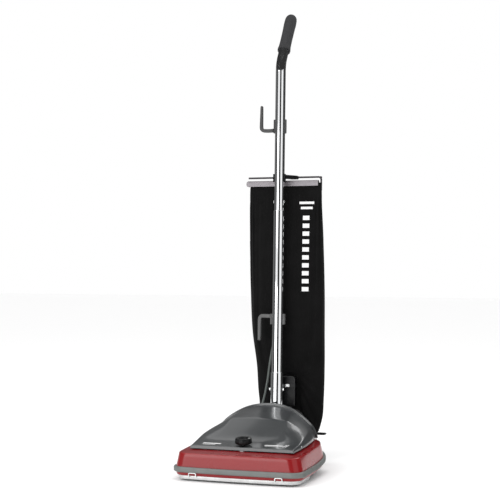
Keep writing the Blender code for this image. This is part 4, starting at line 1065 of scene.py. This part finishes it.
def make_pedal():
    """A ribbed foot pad on a cross shaft, with a return spring under it."""
    at = Vector((0.0, 0.325, 0.092))
    shaft = rod(0.0030, 0.0640, 32, ALONG_X, at + Vector((0.080, 0, 0)))
    pad = [
        (0.1070, 0.3400), (0.1085, 0.3383), (0.1130, 0.3370), (0.1360, 0.3370), (0.1395, 0.3383),
        (0.1415, 0.3420), (0.1420, 0.3560), (0.1410, 0.3595), (0.1370, 0.3620), (0.1130, 0.3620),
        (0.1088, 0.3610), (0.1070, 0.3580),
    ]
    arm = block((0.1040, 0.3240, 0.0866), (0.1180, 0.3450, 0.0895))
    piece("pedal_pad", prism(pad, 0.0842, 0.0878), BLACK, "pedal", sharp=40, bevel=0.0008)
    piece(
        "pedal_arm", joined(arm, shaft), BLACK, "pedal", ("release_pedal",), sharp=40,
        bevel=0.0005,
    )
    ribs = [
        block((0.1105, y, 0.0876), (0.1385, y + 0.0012, 0.0884))
        for y in (0.3466, 0.3492, 0.3518, 0.3544, 0.3570)
    ]
    piece("pedal_ribs", joined(*ribs), BLACK, "pedal", sharp=40, bevel=0.0002)
    coil = helix((0.117, 0.335, 0.0690), 0.004, 0.0144, 4, 0.0006)
    spring = piece("pedal_return_coil", coil, ZINC, "base", ("pedal_spring",), sharp=60)
    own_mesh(spring)


# ================= under the base =================


def wheel(name, node, body, radius, width, centre):
    """A rubber tyre with tread grooves over a grey turned hub."""
    half = width / 2
    tread = []
    for step in range(9):
        share = -1 + 2 * step / 8
        groove = 0.0005 if step % 2 else 0.0
        tread.append((radius - groove, share * (half - 0.0022)))
    profile = [
        (radius * 0.62, -half + 0.0008), (radius * 0.70, -half), (radius - 0.0016, -half),
        (radius - 0.0004, -half + 0.0012),
    ]
    profile += tread
    profile += [
        (radius - 0.0004, half - 0.0012), (radius - 0.0016, half), (radius * 0.70, half),
        (radius * 0.62, half - 0.0008),
    ]
    piece(f"{name}_tyre", turned(profile, 64, ALONG_X, centre), RUBBER, body, (node,), sharp=40)
    hub = [
        (0.0029, -half + 0.0003), (0.0060, -half + 0.0003), (0.0066, -half + 0.0018),
        (radius * 0.52, -half + 0.0024), (radius * 0.62, -half + 0.0010), (radius * 0.62, half - 0.0010),
        (radius * 0.52, half - 0.0024), (0.0066, half - 0.0018), (0.0060, half - 0.0003),
        (0.0029, half - 0.0003),
    ]
    piece(f"{name}_hub", turned(hub, 48, ALONG_X, centre), HOOK_DARK, body, sharp=40)


def make_wheels():
    """Four wheels, the rear axle with its clips, and the dipped front axle on the carriage."""
    rear = Vector((0, 0.260, 0.024))
    front = Vector((0, 0.135, 0.014))
    pairs = (("rear", 0.024, 0.013, rear, 0.1045), ("front", 0.014, 0.012, front, 0.085))
    for word, side in SIDES:
        for end, radius, width, middle, reach in pairs:
            wheel(
                f"{end}_{word}", f"{end}_wheel_{word}", f"wheel_{end}_{word}", radius, width,
                middle + Vector((side * reach, 0, 0)),
            )
    axle = rod(0.0025, 0.2260, 24, ALONG_X, rear)
    clips = [
        turned([(0.0026, -0.0004), (0.0050, -0.0004), (0.0050, 0.0004), (0.0026, 0.0004)], 24, ALONG_X,
               rear + Vector((side * 0.1118, 0, 0))) for side in (-1, 1)
    ]
    piece("rear_axle_rod", joined(axle, *clips), ZINC, "base", ("rear_axle",), sharp=40)
    dip = [(0.0948, 0), (0.060, 0), (0.030, 0), (0.024, -0.0006), (0.016, -0.0032), (0.010, -0.0040)]
    line = [(-x, z) for x, z in dip] + dip[::-1]
    route = smooth_path([front + Vector((x, 0, z)) for x, z in line], 60)
    piece(
        "front_axle_rod", loft(swept(route, lambda t: 0.0025, 20)), ZINC, "carriage",
        ("front_axle",), sharp=50,
    )


make_elbow()
make_bracket()
make_gland()
make_pedal()
make_wheels()

# ================= handle =================

TUBE_LOW = 0.0159
TUBE_UP = 0.0140
SOCKET_BOLT_Z = 0.1025
JOINT_BOLT_Z = 0.6225
BEND = math.radians(35.2) - LEAN


def on_handle(name, shape, material, nodes=(), sharp=40, bevel=0.0, body="handle"):
    """A piece written about the handle's pivot."""
    return piece(name, shape, material, body, nodes, HANDLE, sharp, bevel)


def upper_line():
    """Centre line of the upper tube: straight, a bend of 80 mm radius, and the run inside the grip."""
    bend_radius = 0.080
    start = 1.0100 - bend_radius * math.tan(BEND / 2)
    points = [Vector((0, 0, 0.5980)), Vector((0, 0, 0.5990))]
    points += [Vector((0, 0, 0.62 + (start - 0.62) * k / 14)) for k in range(15)]
    bent = arc((bend_radius, start), bend_radius, bend_radius, 180, 180 - math.degrees(BEND), 16, 1)
    points += [Vector((0, y, z)) for y, z in bent]
    ahead = Vector((0, math.sin(BEND), math.cos(BEND)))
    last = points[-1]
    points += [last + ahead * 0.150 * k / 8 for k in range(1, 9)]
    return points, ahead


def make_yoke():
    """The cast yoke on the pivot, with the socket tube bolted round its neck."""
    hub = rod(0.0130, 0.0700, 48, ALONG_X, ease=0.0012)
    neck = [
        (0.0, 0.0), (0.0120, 0.0), (0.0128, 0.010), (0.0150, 0.018), (0.0165, 0.024), (0.0172, 0.030),
        (0.0172, 0.0488), (0.0166, 0.0496), (0.0142, 0.0496), (0.0142, 0.1180), (0.0, 0.1180),
    ]
    on_handle("yoke_casting", joined(hub, turned(neck, 48)), CAST, ("handle_yoke",))
    profile = [
        (0.0163, 0.0500), (0.0172, 0.0500), (0.0176, 0.0506), (0.0176, 0.1470), (0.0174, 0.1482),
        (0.0169, 0.1490), (0.0163, 0.1490),
    ]
    on_handle("socket_tube", turned(profile, 80), CHROME, ("socket_sleeve",), sharp=20)
    shank = rod(0.0029, 0.0370, 24, ALONG_X, (0, 0, SOCKET_BOLT_Z))
    heads = at_both_ends(washer_head(0.0088, 0.0030), 0.0177, (0, 0, SOCKET_BOLT_Z))
    on_handle("socket_bolt_set", joined(shank, *heads), ZINC, ("socket_bolt",), sharp=30)


def make_tubes():
    """The two chrome tubes and the riveted core that joins them."""
    low = [
        (0.0147, 0.0500), (0.0159, 0.0500), (0.0159, 0.5970), (0.0158, 0.5973), (0.0147, 0.5975),
    ]
    on_handle("lower_chrome_tube", turned(low, 80), CHROME, ("lower_tube",), sharp=10)
    points, _ = upper_line()
    outer = swept(points, lambda t: TUBE_UP, 64)
    inner = swept(points, lambda t: TUBE_UP - 0.0012, 64)
    shape = loft(outer + inner[::-1], closed=True)
    on_handle("upper_chrome_tube", shape, CHROME, ("upper_tube",), sharp=20)
    coupler = [
        (0.0103, 0.540), (0.0144, 0.540), (0.0144, 0.5970), (0.0125, 0.5970), (0.0125, 0.660),
        (0.0103, 0.660),
    ]
    on_handle("coupler_core", turned(coupler, 40), ZINC, ("tube_coupler",))
    shank = rod(0.0026, 0.0300, 24, ALONG_X, (0, 0, JOINT_BOLT_Z))
    dome = turned(
        [(0, 0), (0.0046, 0), (0.0046, 0.0006), (0.0040, 0.0017), (0.0022, 0.0024), (0, 0.0026)], 32
    )
    heads = at_both_ends(dome, 0.0141, (0, 0, JOINT_BOLT_Z))
    on_handle("joint_rivet", joined(shank, *heads), ZINC, ("joint_bolt",), sharp=30)


def make_grip():
    """A foam sleeve: flared slanted cuff below, waisted middle, swelling rounded top, pitted surface."""
    points, ahead = upper_line()
    start = points[-1] - ahead * 0.1250
    turn = Matrix.Rotation(-math.atan2(ahead.y, ahead.z), 4, "X")
    outline = [
        (0.0, 0.0182), (0.003, 0.0186), (0.008, 0.0182), (0.016, 0.0170), (0.040, 0.0166), (0.070, 0.0168),
        (0.105, 0.0176), (0.120, 0.0173), (0.128, 0.0160), (0.1335, 0.0132), (0.1368, 0.0092),
        (0.1386, 0.0045), (0.1390, 0.0001),
    ]
    heights = [p[0] for p in outline]
    radii = [p[1] for p in outline]
    profile = [(0.0143, 0.1250), (0.0143, 0.0012), (0.0150, 0.0)]
    rings = []
    steps = 96
    rows = [0.138 * (k / 130) for k in range(1, 131)] + [0.1384, 0.1388, 0.1390]
    for c, s in circle(steps):
        ring = [(r * c, r * s, z) for r, z in [(0.0001, 0.1250), *profile]]
        for z in rows:
            radius = float(np.interp(z, heights, radii)) - 0.0003
            grain = noise.noise(Vector((c * 14, s * 14, z * 900)))
            grain += 0.6 * noise.noise(Vector((c * 31, s * 31, z * 2100)))
            radius += 0.00028 * grain if z < 0.137 else 0
            ring.append((radius * c, radius * s, min(z, 0.1389)))
        rings.append(ring)
    place = Matrix.Translation(start) @ turn
    on_handle("foam_grip", moved(loft(rings, closed=True), place), FOAM, ("grip",), sharp=70)


def make_switch():
    """The switch on the rear of the upper tube: an open case and its rocker."""
    case = joined(
        block((-0.0065, 0.0146, 0.9150), (0.0065, 0.0265, 0.9240)),
        block((-0.0065, 0.0146, 0.9460), (0.0065, 0.0265, 0.9550)),
        block((-0.0065, 0.0146, 0.9238), (-0.0042, 0.0265, 0.9462)),
        block((0.0042, 0.0146, 0.9238), (0.0065, 0.0265, 0.9462)),
        block((-0.0043, 0.0146, 0.9238), (0.0043, 0.0180, 0.9462)),
    )
    on_handle("switch_case", case, BLACK, ("switch_housing",), sharp=30, bevel=0.0005)
    outline = [
        (0.0207, 0.9265), (0.0270, 0.9255), (0.0279, 0.9300), (0.0285, 0.9350), (0.0290, 0.9430),
        (0.0207, 0.9440),
    ]
    rocker = prism(outline, -0.0038, 0.0038, SIDE_ON)
    on_handle(
        "switch_key", rocker, BLACK, ("switch_rocker",), sharp=30, bevel=0.0006,
        body="rocker",
    )


def collar(outer, inner, low, high, gap_y=-0.0045, steps=60):
    """A clip round the tube, open at the front, with rounded ends."""
    start = math.asin(gap_y / ((outer + inner) / 2))
    rings = []
    for k in range(steps + 1):
        angle = start + (math.pi - 2 * start) * k / steps
        c, s = math.cos(angle), math.sin(angle)
        section = [
            (inner, low), (outer - 0.0008, low), (outer - 0.0002, low + 0.0003), (outer, low + 0.0008),
            (outer, high - 0.0008), (outer - 0.0002, high - 0.0003), (outer - 0.0008, high), (inner, high),
        ]
        rings.append([(r * c, r * s, z) for r, z in section])
    return loft(rings)


def rounded_bar(centre_line, wide_at, thick, steps=8):
    """An L or U hook: a rounded rectangular section along a line in the X-Z plane."""
    rings = []
    for i, point in enumerate(centre_line):
        ahead = heading(centre_line, i)
        across = Vector((ahead.z, 0, -ahead.x))
        end = min(i, len(centre_line) - 1 - i)
        shrink = (0.62, 0.86, 1.0)[min(end, 2)]
        wide = wide_at(i / (len(centre_line) - 1))
        ring = []
        for c, s in circle(4 * steps, 0.5):
            u = math.copysign(abs(c) ** 0.45, c) * wide / 2 * shrink
            v = math.copysign(abs(s) ** 0.45, s) * thick / 2 * shrink
            ring.append(point + across * u + Vector((0, v, 0)))
        rings.append(ring)
    return loft(rings)


def make_hooks():
    """The two cord hooks with their clips; the upper one swivels on its boss."""
    on_handle(
        "upper_clip", collar(0.0182, TUBE_UP + 0.0003, 0.8145, 0.8525), HOOK_DARK,
        ("upper_hook_clamp",), sharp=50
    )
    route = [
        (-0.0190, 0, 0.8222), (-0.0300, 0, 0.8220), (-0.0400, 0, 0.8222), (-0.0480, 0, 0.8232),
        (-0.0530, 0, 0.8270), (-0.0545, 0, 0.8340), (-0.0544, 0, 0.8500), (-0.0542, 0, 0.8700),
        (-0.0541, 0, 0.8860), (-0.0540, 0, 0.8925),
    ]
    arm = rounded_bar(smooth_path(route, 60), lambda t: 0.0098 - 0.0036 * max(t - 0.45, 0) / 0.55, 0.0100)
    boss = rod(0.0058, 0.0026, 40, ALONG_X, (-0.0202, 0, 0.8225))
    on_handle(
        "upper_cord_hook", joined(arm, boss), HOOK_DARK, ("upper_hook",), sharp=50, body="hook"
    )
    on_handle(
        "lower_clip", collar(0.0212, TUBE_LOW + 0.0003, 0.2815, 0.3105), HOOK_LIGHT, sharp=50
    )
    route = [
        (-0.0190, 0, 0.3040), (-0.0300, 0, 0.3042), (-0.0400, 0, 0.3044), (-0.0472, 0, 0.3036),
        (-0.0513, 0, 0.2995), (-0.0526, 0, 0.2920), (-0.0528, 0, 0.2750), (-0.0529, 0, 0.2560),
        (-0.0530, 0, 0.2430), (-0.0531, 0, 0.2365),
    ]
    arm = rounded_bar(smooth_path(route, 60), lambda t: 0.0112 - 0.0030 * t, 0.0100)
    on_handle("lower_cord_hook", arm, HOOK_LIGHT, ("lower_hook",), sharp=50)


make_yoke()
make_tubes()
make_grip()
make_switch()
make_hooks()

# ================= bag fittings =================

BAG_Y = 0.0360
BAIL_Y = 0.0500
BAIL_Z = 0.6950
BAG_TOP = 0.6780


def make_bail():
    """The wire hanger, with a ball on its corner, and the clip and link that hold it on the tube."""
    half, bend = 0.1070, 0.008
    route = [Vector((-half, BAIL_Y, BAIL_Z)), Vector((-half + 0.002, BAIL_Y, BAIL_Z))]
    route += [Vector((x, BAIL_Y, BAIL_Z)) for x in np.linspace(-0.10, 0.092, 20)]
    route += [Vector((x, BAIL_Y, z)) for x, z in arc((half - bend, BAIL_Z - bend), bend, bend, 90, 0, 12)]
    route += [Vector((half, BAIL_Y, BAIL_Z - 0.038 + 0.028 * (1 - k / 8))) for k in range(9)]
    shape = loft(swept(route, lambda t: 0.0026, 20))
    ball = [(0, -0.0036), (0.0026, -0.0026), (0.0036, 0), (0.0026, 0.0026), (0, 0.0036)]
    corner = Vector((half - 0.0010, BAIL_Y, BAIL_Z - 0.0012))
    on_handle("bail_wire", joined(shape, turned(ball, 24, at=corner)), WIRE, ("bag_bail",), sharp=60)
    clip = collar(0.0178, TUBE_UP + 0.0003, BAIL_Z - 0.017, BAIL_Z + 0.005)
    outline = [
        (0.004, 0.0166), (0.013, 0.0115), (0.0395, 0.0440), (0.040, 0.0550), (0.020, 0.0550), (0.004, 0.0300)
    ]
    link = prism(outline, BAIL_Z - 0.0056, BAIL_Z + 0.0044)
    on_handle("bail_clip_ring", clip, BLACK, ("bail_clip",), sharp=50)
    on_handle("bail_link", link, BLACK, sharp=30, bevel=0.0016)


def make_bag_clamp():
    """A folded channel along the top of the bag, its left end rounded, with two fold lines along its face.
    """
    y, top = BAG_Y, BAG_TOP + 0.0072
    outer = [(-0.0068, -0.0165), (-0.0068, -0.0040)]
    outer += arc((0, -0.0040), 0.0068, 0.0040, 180, 0, 8)
    outer += [(0.0068, -0.0165), (0.0053, -0.0165), (0.0053, -0.0042)]
    inner = arc((0, -0.0042), 0.0053, 0.0027, 30, 150, 4)
    section = outer + inner + [(-0.0053, -0.0042), (-0.0053, -0.0165)]
    rings = []
    stations = [(-0.1070, 0.30), (-0.1066, 0.62), (-0.1056, 0.84), (-0.1040, 0.96), (-0.1020, 1.0)]
    stations += [(x, 1.0) for x in np.linspace(-0.095, 0.098, 12)] + [(0.1024, 1.0), (0.1030, 0.97)]
    middle = -0.0085
    for x, tall in stations:
        ring = []
        for across, up in section:
            ring.append((x, y + across, top + middle + (up - middle) * tall))
        rings.append(ring)
    on_handle("clamp_channel", loft(rings), CLAMP, ("bag_clamp",), sharp=50, body="clamp")
    grooves = []
    for z in (-0.0060, -0.0135):
        grooves.append(
            block((-0.1010, y - 0.00695, top + z - 0.0003), (0.1000, y - 0.0066, top + z + 0.0003))
        )
    on_handle("clamp_folds", joined(*grooves), CLAMP, sharp=30, bevel=0.0001, body="clamp")


def make_duct():
    """The stiff inlet on the bag's front: rounded frame, bag opening, band clamp and its screw lug."""
    x0, x1, y0, y1 = 0.0050, 0.0450, 0.0205, 0.0405
    low, high, bend = 0.0580, 0.1380, 0.009

    def outline(inset, drop=0.0):
        r = max(bend - inset, 0.001)
        left, right, top = x0 + inset, x1 - inset, high - inset
        points = [(left, low + drop), (right, low + drop)]
        for x, start in ((right - r, 0), (left + r, 90)):
            points += arc((x, top - r), r, r, start, start + 90, 8)
        return points

    rings = []
    for inset, y in (
        (0.0022, y0 + 0.0022), (0.0008, y0 + 0.0003), (0.0, y0 + 0.0010), (0.0, y1), (0.0024, y1),
        (0.0024, y0 + 0.0026),
    ):
        rings.append([Vector((x, y, z)) for x, z in outline(inset)])
    face = [Vector((x, y0 + 0.0024, z)) for x, z in outline(0.0022)]
    back = [Vector((x, y0 + 0.0032, z)) for x, z in outline(0.0022)]
    frame_shape = loft(rings, closed=True)
    on_handle(
        "inlet_box", joined(frame_shape, loft([face, back])), BLACK, ("bag_inlet_duct",),
        sharp=35,
    )
    line = [Vector((x, y0 + 0.0003, z)) for x, z in outline(0.0010)]
    bead = swept(line[1:] + line[:1], lambda t: 0.0007, 10)
    on_handle("inlet_edge_bead", loft(bead), HOOK_DARK, sharp=60)
    low_z, high_z = 0.1060, 0.1180
    band = joined(
        block((x0 - 0.0018, y0 - 0.0018, low_z), (x1 + 0.0018, y0 - 0.0006, high_z)),
        block((x0 - 0.0018, y0 - 0.0010, low_z), (x0 - 0.0006, y1 - 0.003, high_z)),
        block((x1 + 0.0006, y0 - 0.0010, low_z), (x1 + 0.0018, y1 - 0.003, high_z)),
    )
    on_handle("inlet_band", band, BLACK, ("duct_clamp",), sharp=30, bevel=0.0004)
    dome = turned(
        [(0, 0), (0.0048, 0), (0.0052, 0.0006), (0.0050, 0.0024), (0.0036, 0.0036), (0, 0.0040)], 40
    )
    place = Matrix.Translation((0.0235, y0 - 0.0018, 0.1120)) @ Matrix.Rotation(math.radians(90), 4, "X")
    screw = joined(moved(dome, place), block((0.0170, y0 - 0.0030, 0.1085), (0.0300, y0 - 0.0016, 0.1155)))
    on_handle("inlet_screw_lug", screw, ZINC, sharp=30, bevel=0.0004)


def make_boot():
    """The corrugated rubber boot between the base's exhaust pipe and the bag's inlet."""
    mouth = HANDLE @ Vector((0.0250, 0.0298, 0.0530))
    route = [BASE @ Vector(p) for p in (
        (0.068, 0.3725, 0.0935), (0.067, 0.3790, 0.1080), (0.052, 0.3850, 0.1300), (0.030, 0.3860, 0.1400))]
    points = smooth_path(route + [mouth], 120)

    def skin(t):
        fold = 0.0008 * math.cos(2 * math.pi * 15 * t) if 0.05 < t < 0.95 else 0.0
        return 0.0153 - 0.0073 * t + fold

    outer = swept(points, skin, 48)
    inner = swept(points, lambda t: skin(t) - 0.0014, 48)
    shape = loft(outer + inner[::-1], closed=True)
    boot = piece("inlet_boot", shape, RUBBER, None, ("duct_boot",), Matrix.Identity(4), sharp=60)
    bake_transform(boot)


def make_lead():
    """The motor lead: out of the tube, down its left side in a slack curve, and into the hood's bush."""
    back = 0.0068
    inside = [HANDLE @ Vector((0, back, z)) for z in (0.925, 0.80, 0.68, 0.56, 0.44, 0.36, 0.305)]
    slack = (
        (-0.0036, 0.0098, 0.281), (-0.0092, 0.0156, 0.263), (-0.0165, 0.0214, 0.240),
        (-0.0235, 0.0235, 0.205), (-0.0300, 0.0240, 0.165), (-0.0350, 0.0215, 0.120),
        (-0.0430, 0.0130, 0.070), (-0.0520, -0.0020, 0.034),
    )
    outside = [HANDLE @ Vector(p) for p in slack]
    gland = [
        BASE @ Vector(p)
        for p in ((-0.057, 0.332, 0.119), (-0.056, 0.3150, 0.1125), (-0.056, 0.2880, 0.112))
    ]
    points = smooth_path(inside + outside + gland, 260)
    shape = loft(swept(points, lambda t: 0.0033, 20))
    lead = piece("lead_run", shape, LEAD, None, ("motor_lead",), Matrix.Identity(4), sharp=60)
    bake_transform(lead)


make_bail()
make_bag_clamp()
make_duct()
make_boot()
make_lead()

# ================= bag =================

BAG_TABLE = [
    # height above the pivot, left x, right x, front y, rear y
    (0.6780, -0.0960, 0.1110, -0.0036, 0.0036), (0.6500, -0.0970, 0.1120, -0.0036, 0.0036),
    (0.6180, -0.0980, 0.1135, -0.0088, 0.0150), (0.5000, -0.0990, 0.1175, -0.0126, 0.0400),
    (0.3800, -0.0970, 0.1190, -0.0106, 0.0560), (0.2600, -0.0910, 0.1190, -0.0086, 0.0620),
    (0.1700, -0.0810, 0.1180, 0.0094, 0.0630), (0.0800, -0.0740, 0.1160, 0.0134, 0.0610),
    (0.0300, -0.0650, 0.1130, 0.0164, 0.0560), (0.0000, -0.0450, 0.1060, 0.0214, 0.0520),
    (-0.0200, -0.0200, 0.0970, 0.0264, 0.0480), (-0.0290, 0.0080, 0.0840, 0.0300, 0.0440),
]
BAG_AROUND = 144
BAG_ROWS = 128
CLAMPED_Z = 0.655
FREE_Z = 0.665
SETTLE_FRAMES = 32
MOST_SAG = 0.0075
MOST_WIDENING = 0.0010
MOST_FORWARD = 0.0035


def eased(xs, values, x):
    """Smooth interpolation through the table: cubic with finite-difference slopes."""
    i = int(np.clip(np.searchsorted(xs, x) - 1, 0, len(xs) - 2))
    slopes = np.gradient(values, xs)
    h = xs[i + 1] - xs[i]
    t = (x - xs[i]) / h
    a, b = values[i], values[i + 1]
    return (
        a * (1 + 2 * t) * (1 - t) ** 2 + h * slopes[i] * t * (1 - t) ** 2
        + b * t * t * (3 - 2 * t) + h * slopes[i + 1] * t * t * (t - 1)
    )


def bag_shell():
    """The bag before it hangs: rings from the folded top to the rounded bottom, in handle space."""
    table = np.array(BAG_TABLE[::-1])
    heights = table[:, 0]
    points = []
    for row in range(BAG_ROWS):
        z = heights[-1] + (heights[0] - heights[-1]) * (row / (BAG_ROWS - 1))
        left, right, front, rear = [float(eased(heights, table[:, k], z)) for k in range(1, 5)]
        front, rear = BAG_Y + front, BAG_Y + rear
        for c, s in circle(BAG_AROUND):
            x = (left + right) / 2 + math.copysign(abs(c) ** 0.55, c) * (right - left) / 2
            y = (front + rear) / 2 + math.copysign(abs(s) ** 0.75, s) * (rear - front) / 2
            points.append(Vector((x, y, z)))
    return points


def bag_faces():
    """Faces between the bag's rings, its first and last ring sewn shut."""
    faces = []
    for row in range(BAG_ROWS - 1):
        here, there = row * BAG_AROUND, (row + 1) * BAG_AROUND
        for k in range(BAG_AROUND):
            n = (k + 1) % BAG_AROUND
            faces.append([here + k, there + k, there + n, here + n])
    half = BAG_AROUND // 2
    last = (BAG_ROWS - 1) * BAG_AROUND
    for start in (0, last):
        # the two halves of an end ring are sewn together straight across
        for k in range(half):
            a, b = start + k, start + k + 1
            c, d = start + (BAG_AROUND - k - 1), start + (BAG_AROUND - k) % BAG_AROUND
            face = [a, b, c, d] if start else [d, c, b, a]
            clean = []
            for i in face:
                if i not in clean:
                    clean.append(i)
            if len(clean) > 2:
                faces.append(clean)
    return faces


def hang_bag(points, faces):
    """Cloth simulation of the slack bag: the cloth is 5 % larger than its shape, so it sags and folds."""
    mesh = bpy.data.meshes.new("bag_pattern")
    mesh.from_pydata(points, [], faces)
    cloth = bpy.data.objects.new("bag_pattern", mesh)
    bpy.context.collection.objects.link(cloth)
    pins = cloth.vertex_groups.new(name="pins")
    for i, point in enumerate(points):
        inlet = point.y < 0.055 and -0.004 < point.x < 0.054 and 0.050 < point.z < 0.146
        weight = 1.0 if point.z > CLAMPED_Z or inlet else 0.0
        if point.z < -0.024:
            weight = 0.4
        pins.add([i], weight, "REPLACE")
    simulation = cloth.modifiers.new("cloth", "CLOTH")
    settings = simulation.settings
    settings.quality = 6
    settings.mass = 0.20
    settings.tension_stiffness = 12
    settings.compression_stiffness = 6
    settings.shear_stiffness = 4
    settings.bending_stiffness = 0.35
    settings.air_damping = 2.0
    settings.tension_damping = 8
    settings.compression_damping = 8
    settings.vertex_group_mass = "pins"
    settings.pin_stiffness = 1.0
    settings.shrink_min = -0.05
    settings.use_pressure = True
    settings.uniform_pressure_force = 0.35
    simulation.collision_settings.use_collision = False
    simulation.collision_settings.use_self_collision = False
    simulation.point_cache.frame_start = 1
    simulation.point_cache.frame_end = 40
    scene = bpy.context.scene
    for number in range(1, SETTLE_FRAMES + 1):
        scene.frame_set(number)
    graph = bpy.context.evaluated_depsgraph_get()
    hung = cloth.evaluated_get(graph)
    made = hung.to_mesh()
    moved_points = [v.co.copy() for v in made.vertices]
    hung.to_mesh_clear()
    scene.frame_set(1)
    bpy.data.objects.remove(cloth, do_unlink=True)
    return moved_points


def settled(before, after):
    """The hung shape, kept clear of the tube in front and inside the width of the clamp."""
    made = []
    for start, end in zip(before, after):
        shift = end - start
        shift *= min(1.0, max(0.0, (FREE_Z - start.z) / 0.05))
        if shift.length > MOST_SAG:
            shift *= MOST_SAG / shift.length
        limited = Vector((max(-MOST_WIDENING, min(MOST_WIDENING, shift.x)), shift.y, shift.z * 0.5))
        in_front = start.y < BAG_Y + 0.012
        limited.y = max(limited.y, -MOST_FORWARD if in_front else -MOST_SAG)
        made.append(start + limited)
    return made


def make_bag():
    """The hung bag with taped side seams and plain printed bars."""
    before = bag_shell()
    faces = bag_faces()
    points = settled(before, hang_bag(before, faces))
    bag = piece("cloth_bag", (points, faces), CLOTH, None, ("bag",), HANDLE, sharp=180)
    tree = surface_of(bag)
    for name, side in (("bag_seam_left", BAG_AROUND // 2), ("bag_seam_right", 0)):
        line = [points[row * BAG_AROUND + side] for row in range(2, BAG_ROWS - 4)]
        rings = swept(line, lambda t: 0.0011, 8)
        seam = piece(name, loft(rings), TAPE, None, (), HANDLE, sharp=60)
        hang(seam)
    marks = []
    for number, (x0, x1, z) in enumerate(((0.0500, 0.0920, 0.6212), (0.0540, 0.0880, 0.6068))):
        marks.append((f"bag_bar_short_{number + 1}", x0, x1, z - 0.0034, z + 0.0034))
    for number in range(10):
        z = 0.5790 - 0.0221 * number
        marks.append((f"bag_bar_column_{number + 1}", 0.0605, 0.0795, z - 0.0060, z + 0.0060))
    back = HANDLE.to_3x3() @ Vector((0, 1, 0))
    for name, x0, x1, z0, z1 in marks:
        corners = [HANDLE @ Vector((x, -0.05, z)) for x, z in ((x0, z0), (x1, z0), (x1, z1), (x0, z1))]
        bar = laid_bar(name, tree, corners, back, None, 0.0005, (24, 8))
        hang(bar)
    hang(bag)


def hang(obj):
    """The piece rides the handle, with a mesh of its own.
    """
    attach(obj, "handle")
    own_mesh(obj)


make_bag()

# ================= brush roll, belt and carriage spring =================

ROLL = Vector((0.0, 0.055, 0.026))
ROLL_HALF = 0.1483


def make_roll():
    """A turned wooden roll with a belt groove, and two spiral rows of bristle tufts."""
    half = ROLL_HALF
    profile = [(0.0, -half), (0.0158, -half), (0.0165, -half + 0.0008)]
    profile += [(0.0165, -0.0130), (0.0162, -0.0112), (0.0130, -0.0100), (0.0125, -0.0092)]
    profile += [(r, -z) for r, z in profile[::-1]]
    core = turned(profile, 72, ALONG_X, ROLL)
    piece("roll_core", core, WOOD, "roll", ("brush_roll",), sharp=40)
    tufts = []
    count = 46
    for row in range(2):
        for number in range(count):
            x = -half + 0.008 + (2 * half - 0.016) * number / (count - 1)
            if abs(x) < 0.0145:
                continue
            angle = math.radians(150) * (x / half) + math.pi * row
            rings = []
            for radius, spread in (
                (0.0150, 0.0013), (0.0172, 0.0014), (0.0205, 0.0021), (0.0232, 0.0027), (0.0234, 0.0020)
            ):
                centre = Vector((x, radius * math.cos(angle), radius * math.sin(angle)))
                around = Vector((0, -math.sin(angle), math.cos(angle)))
                ring = []
                for k, (c, s) in enumerate(circle(12)):
                    fray = 1 + (0.14 if k % 2 else -0.10) * (spread / 0.0027)
                    ring.append(ROLL + centre + fray * spread * (c * Vector((1, 0, 0)) + s * around))
                rings.append(ring)
            tufts.append(loft(rings))
    piece("roll_tufts", joined(*tufts), HAIR, "roll", sharp=50)
    for word, side in SIDES:
        at = ROLL + Vector((side * 0.1548, 0, 0))
        profile = [
            (0, -0.00525), (0.0168, -0.00525), (0.0175, -0.0045), (0.0175, 0.0045), (0.0168, 0.00525),
            (0, 0.00525),
        ]
        piece(
            f"roll_end_{word}", turned(profile, 56, ALONG_X, at), BLACK, "base",
            (f"roll_cap_{word}",),
        )


def make_belt():
    """The round belt, turned a quarter between the motor's upright shaft and the level roll."""
    thick, drive, driven = 0.0022, 0.0083, 0.0153
    motor_y, level = 0.228, 0.0281

    def run(share, side):
        x = side * drive * (1 - share) ** 1.5
        y = motor_y + (ROLL.y - motor_y) * share
        return Vector((x, y, level + (ROLL.z - side * driven - level) * share**1.4))

    points = []
    for step in range(25):
        angle = math.radians(180 * step / 24)
        points.append(Vector((drive * math.cos(angle), motor_y + drive * math.sin(angle), level)))
    points += [run(k / 16, -1) for k in range(1, 16)]
    for step in range(25):
        angle = math.radians(90 + 180 * step / 24)
        points.append(Vector((0, ROLL.y + driven * math.cos(angle), ROLL.z + driven * math.sin(angle))))
    points += [run(k / 16, 1) for k in range(15, 0, -1)]
    slant = Vector((1, 0, 1))
    rings = []
    for i, point in enumerate(points):
        ahead = (points[(i + 1) % len(points)] - points[i - 1]).normalized()
        normal = (slant - ahead * slant.dot(ahead)).normalized()
        other = ahead.cross(normal)
        rings.append([point + thick * (c * normal + s * other) for c, s in circle(16)])
    piece("belt_loop", loft(rings, closed=True), RUBBER, "base", ("drive_belt",), sharp=60)


def make_carriage_spring():
    """The spring over the front carriage."""
    coil = helix((-0.030, 0.150, 0.0218), 0.005, 0.0225, 4.5, 0.0007)
    spring = piece("carriage_coil", coil, ZINC, "base", ("carriage_spring",), sharp=60)
    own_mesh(spring)


make_roll()
make_belt()
make_carriage_spring()

# ================= end =================

bpy.context.view_layer.update()
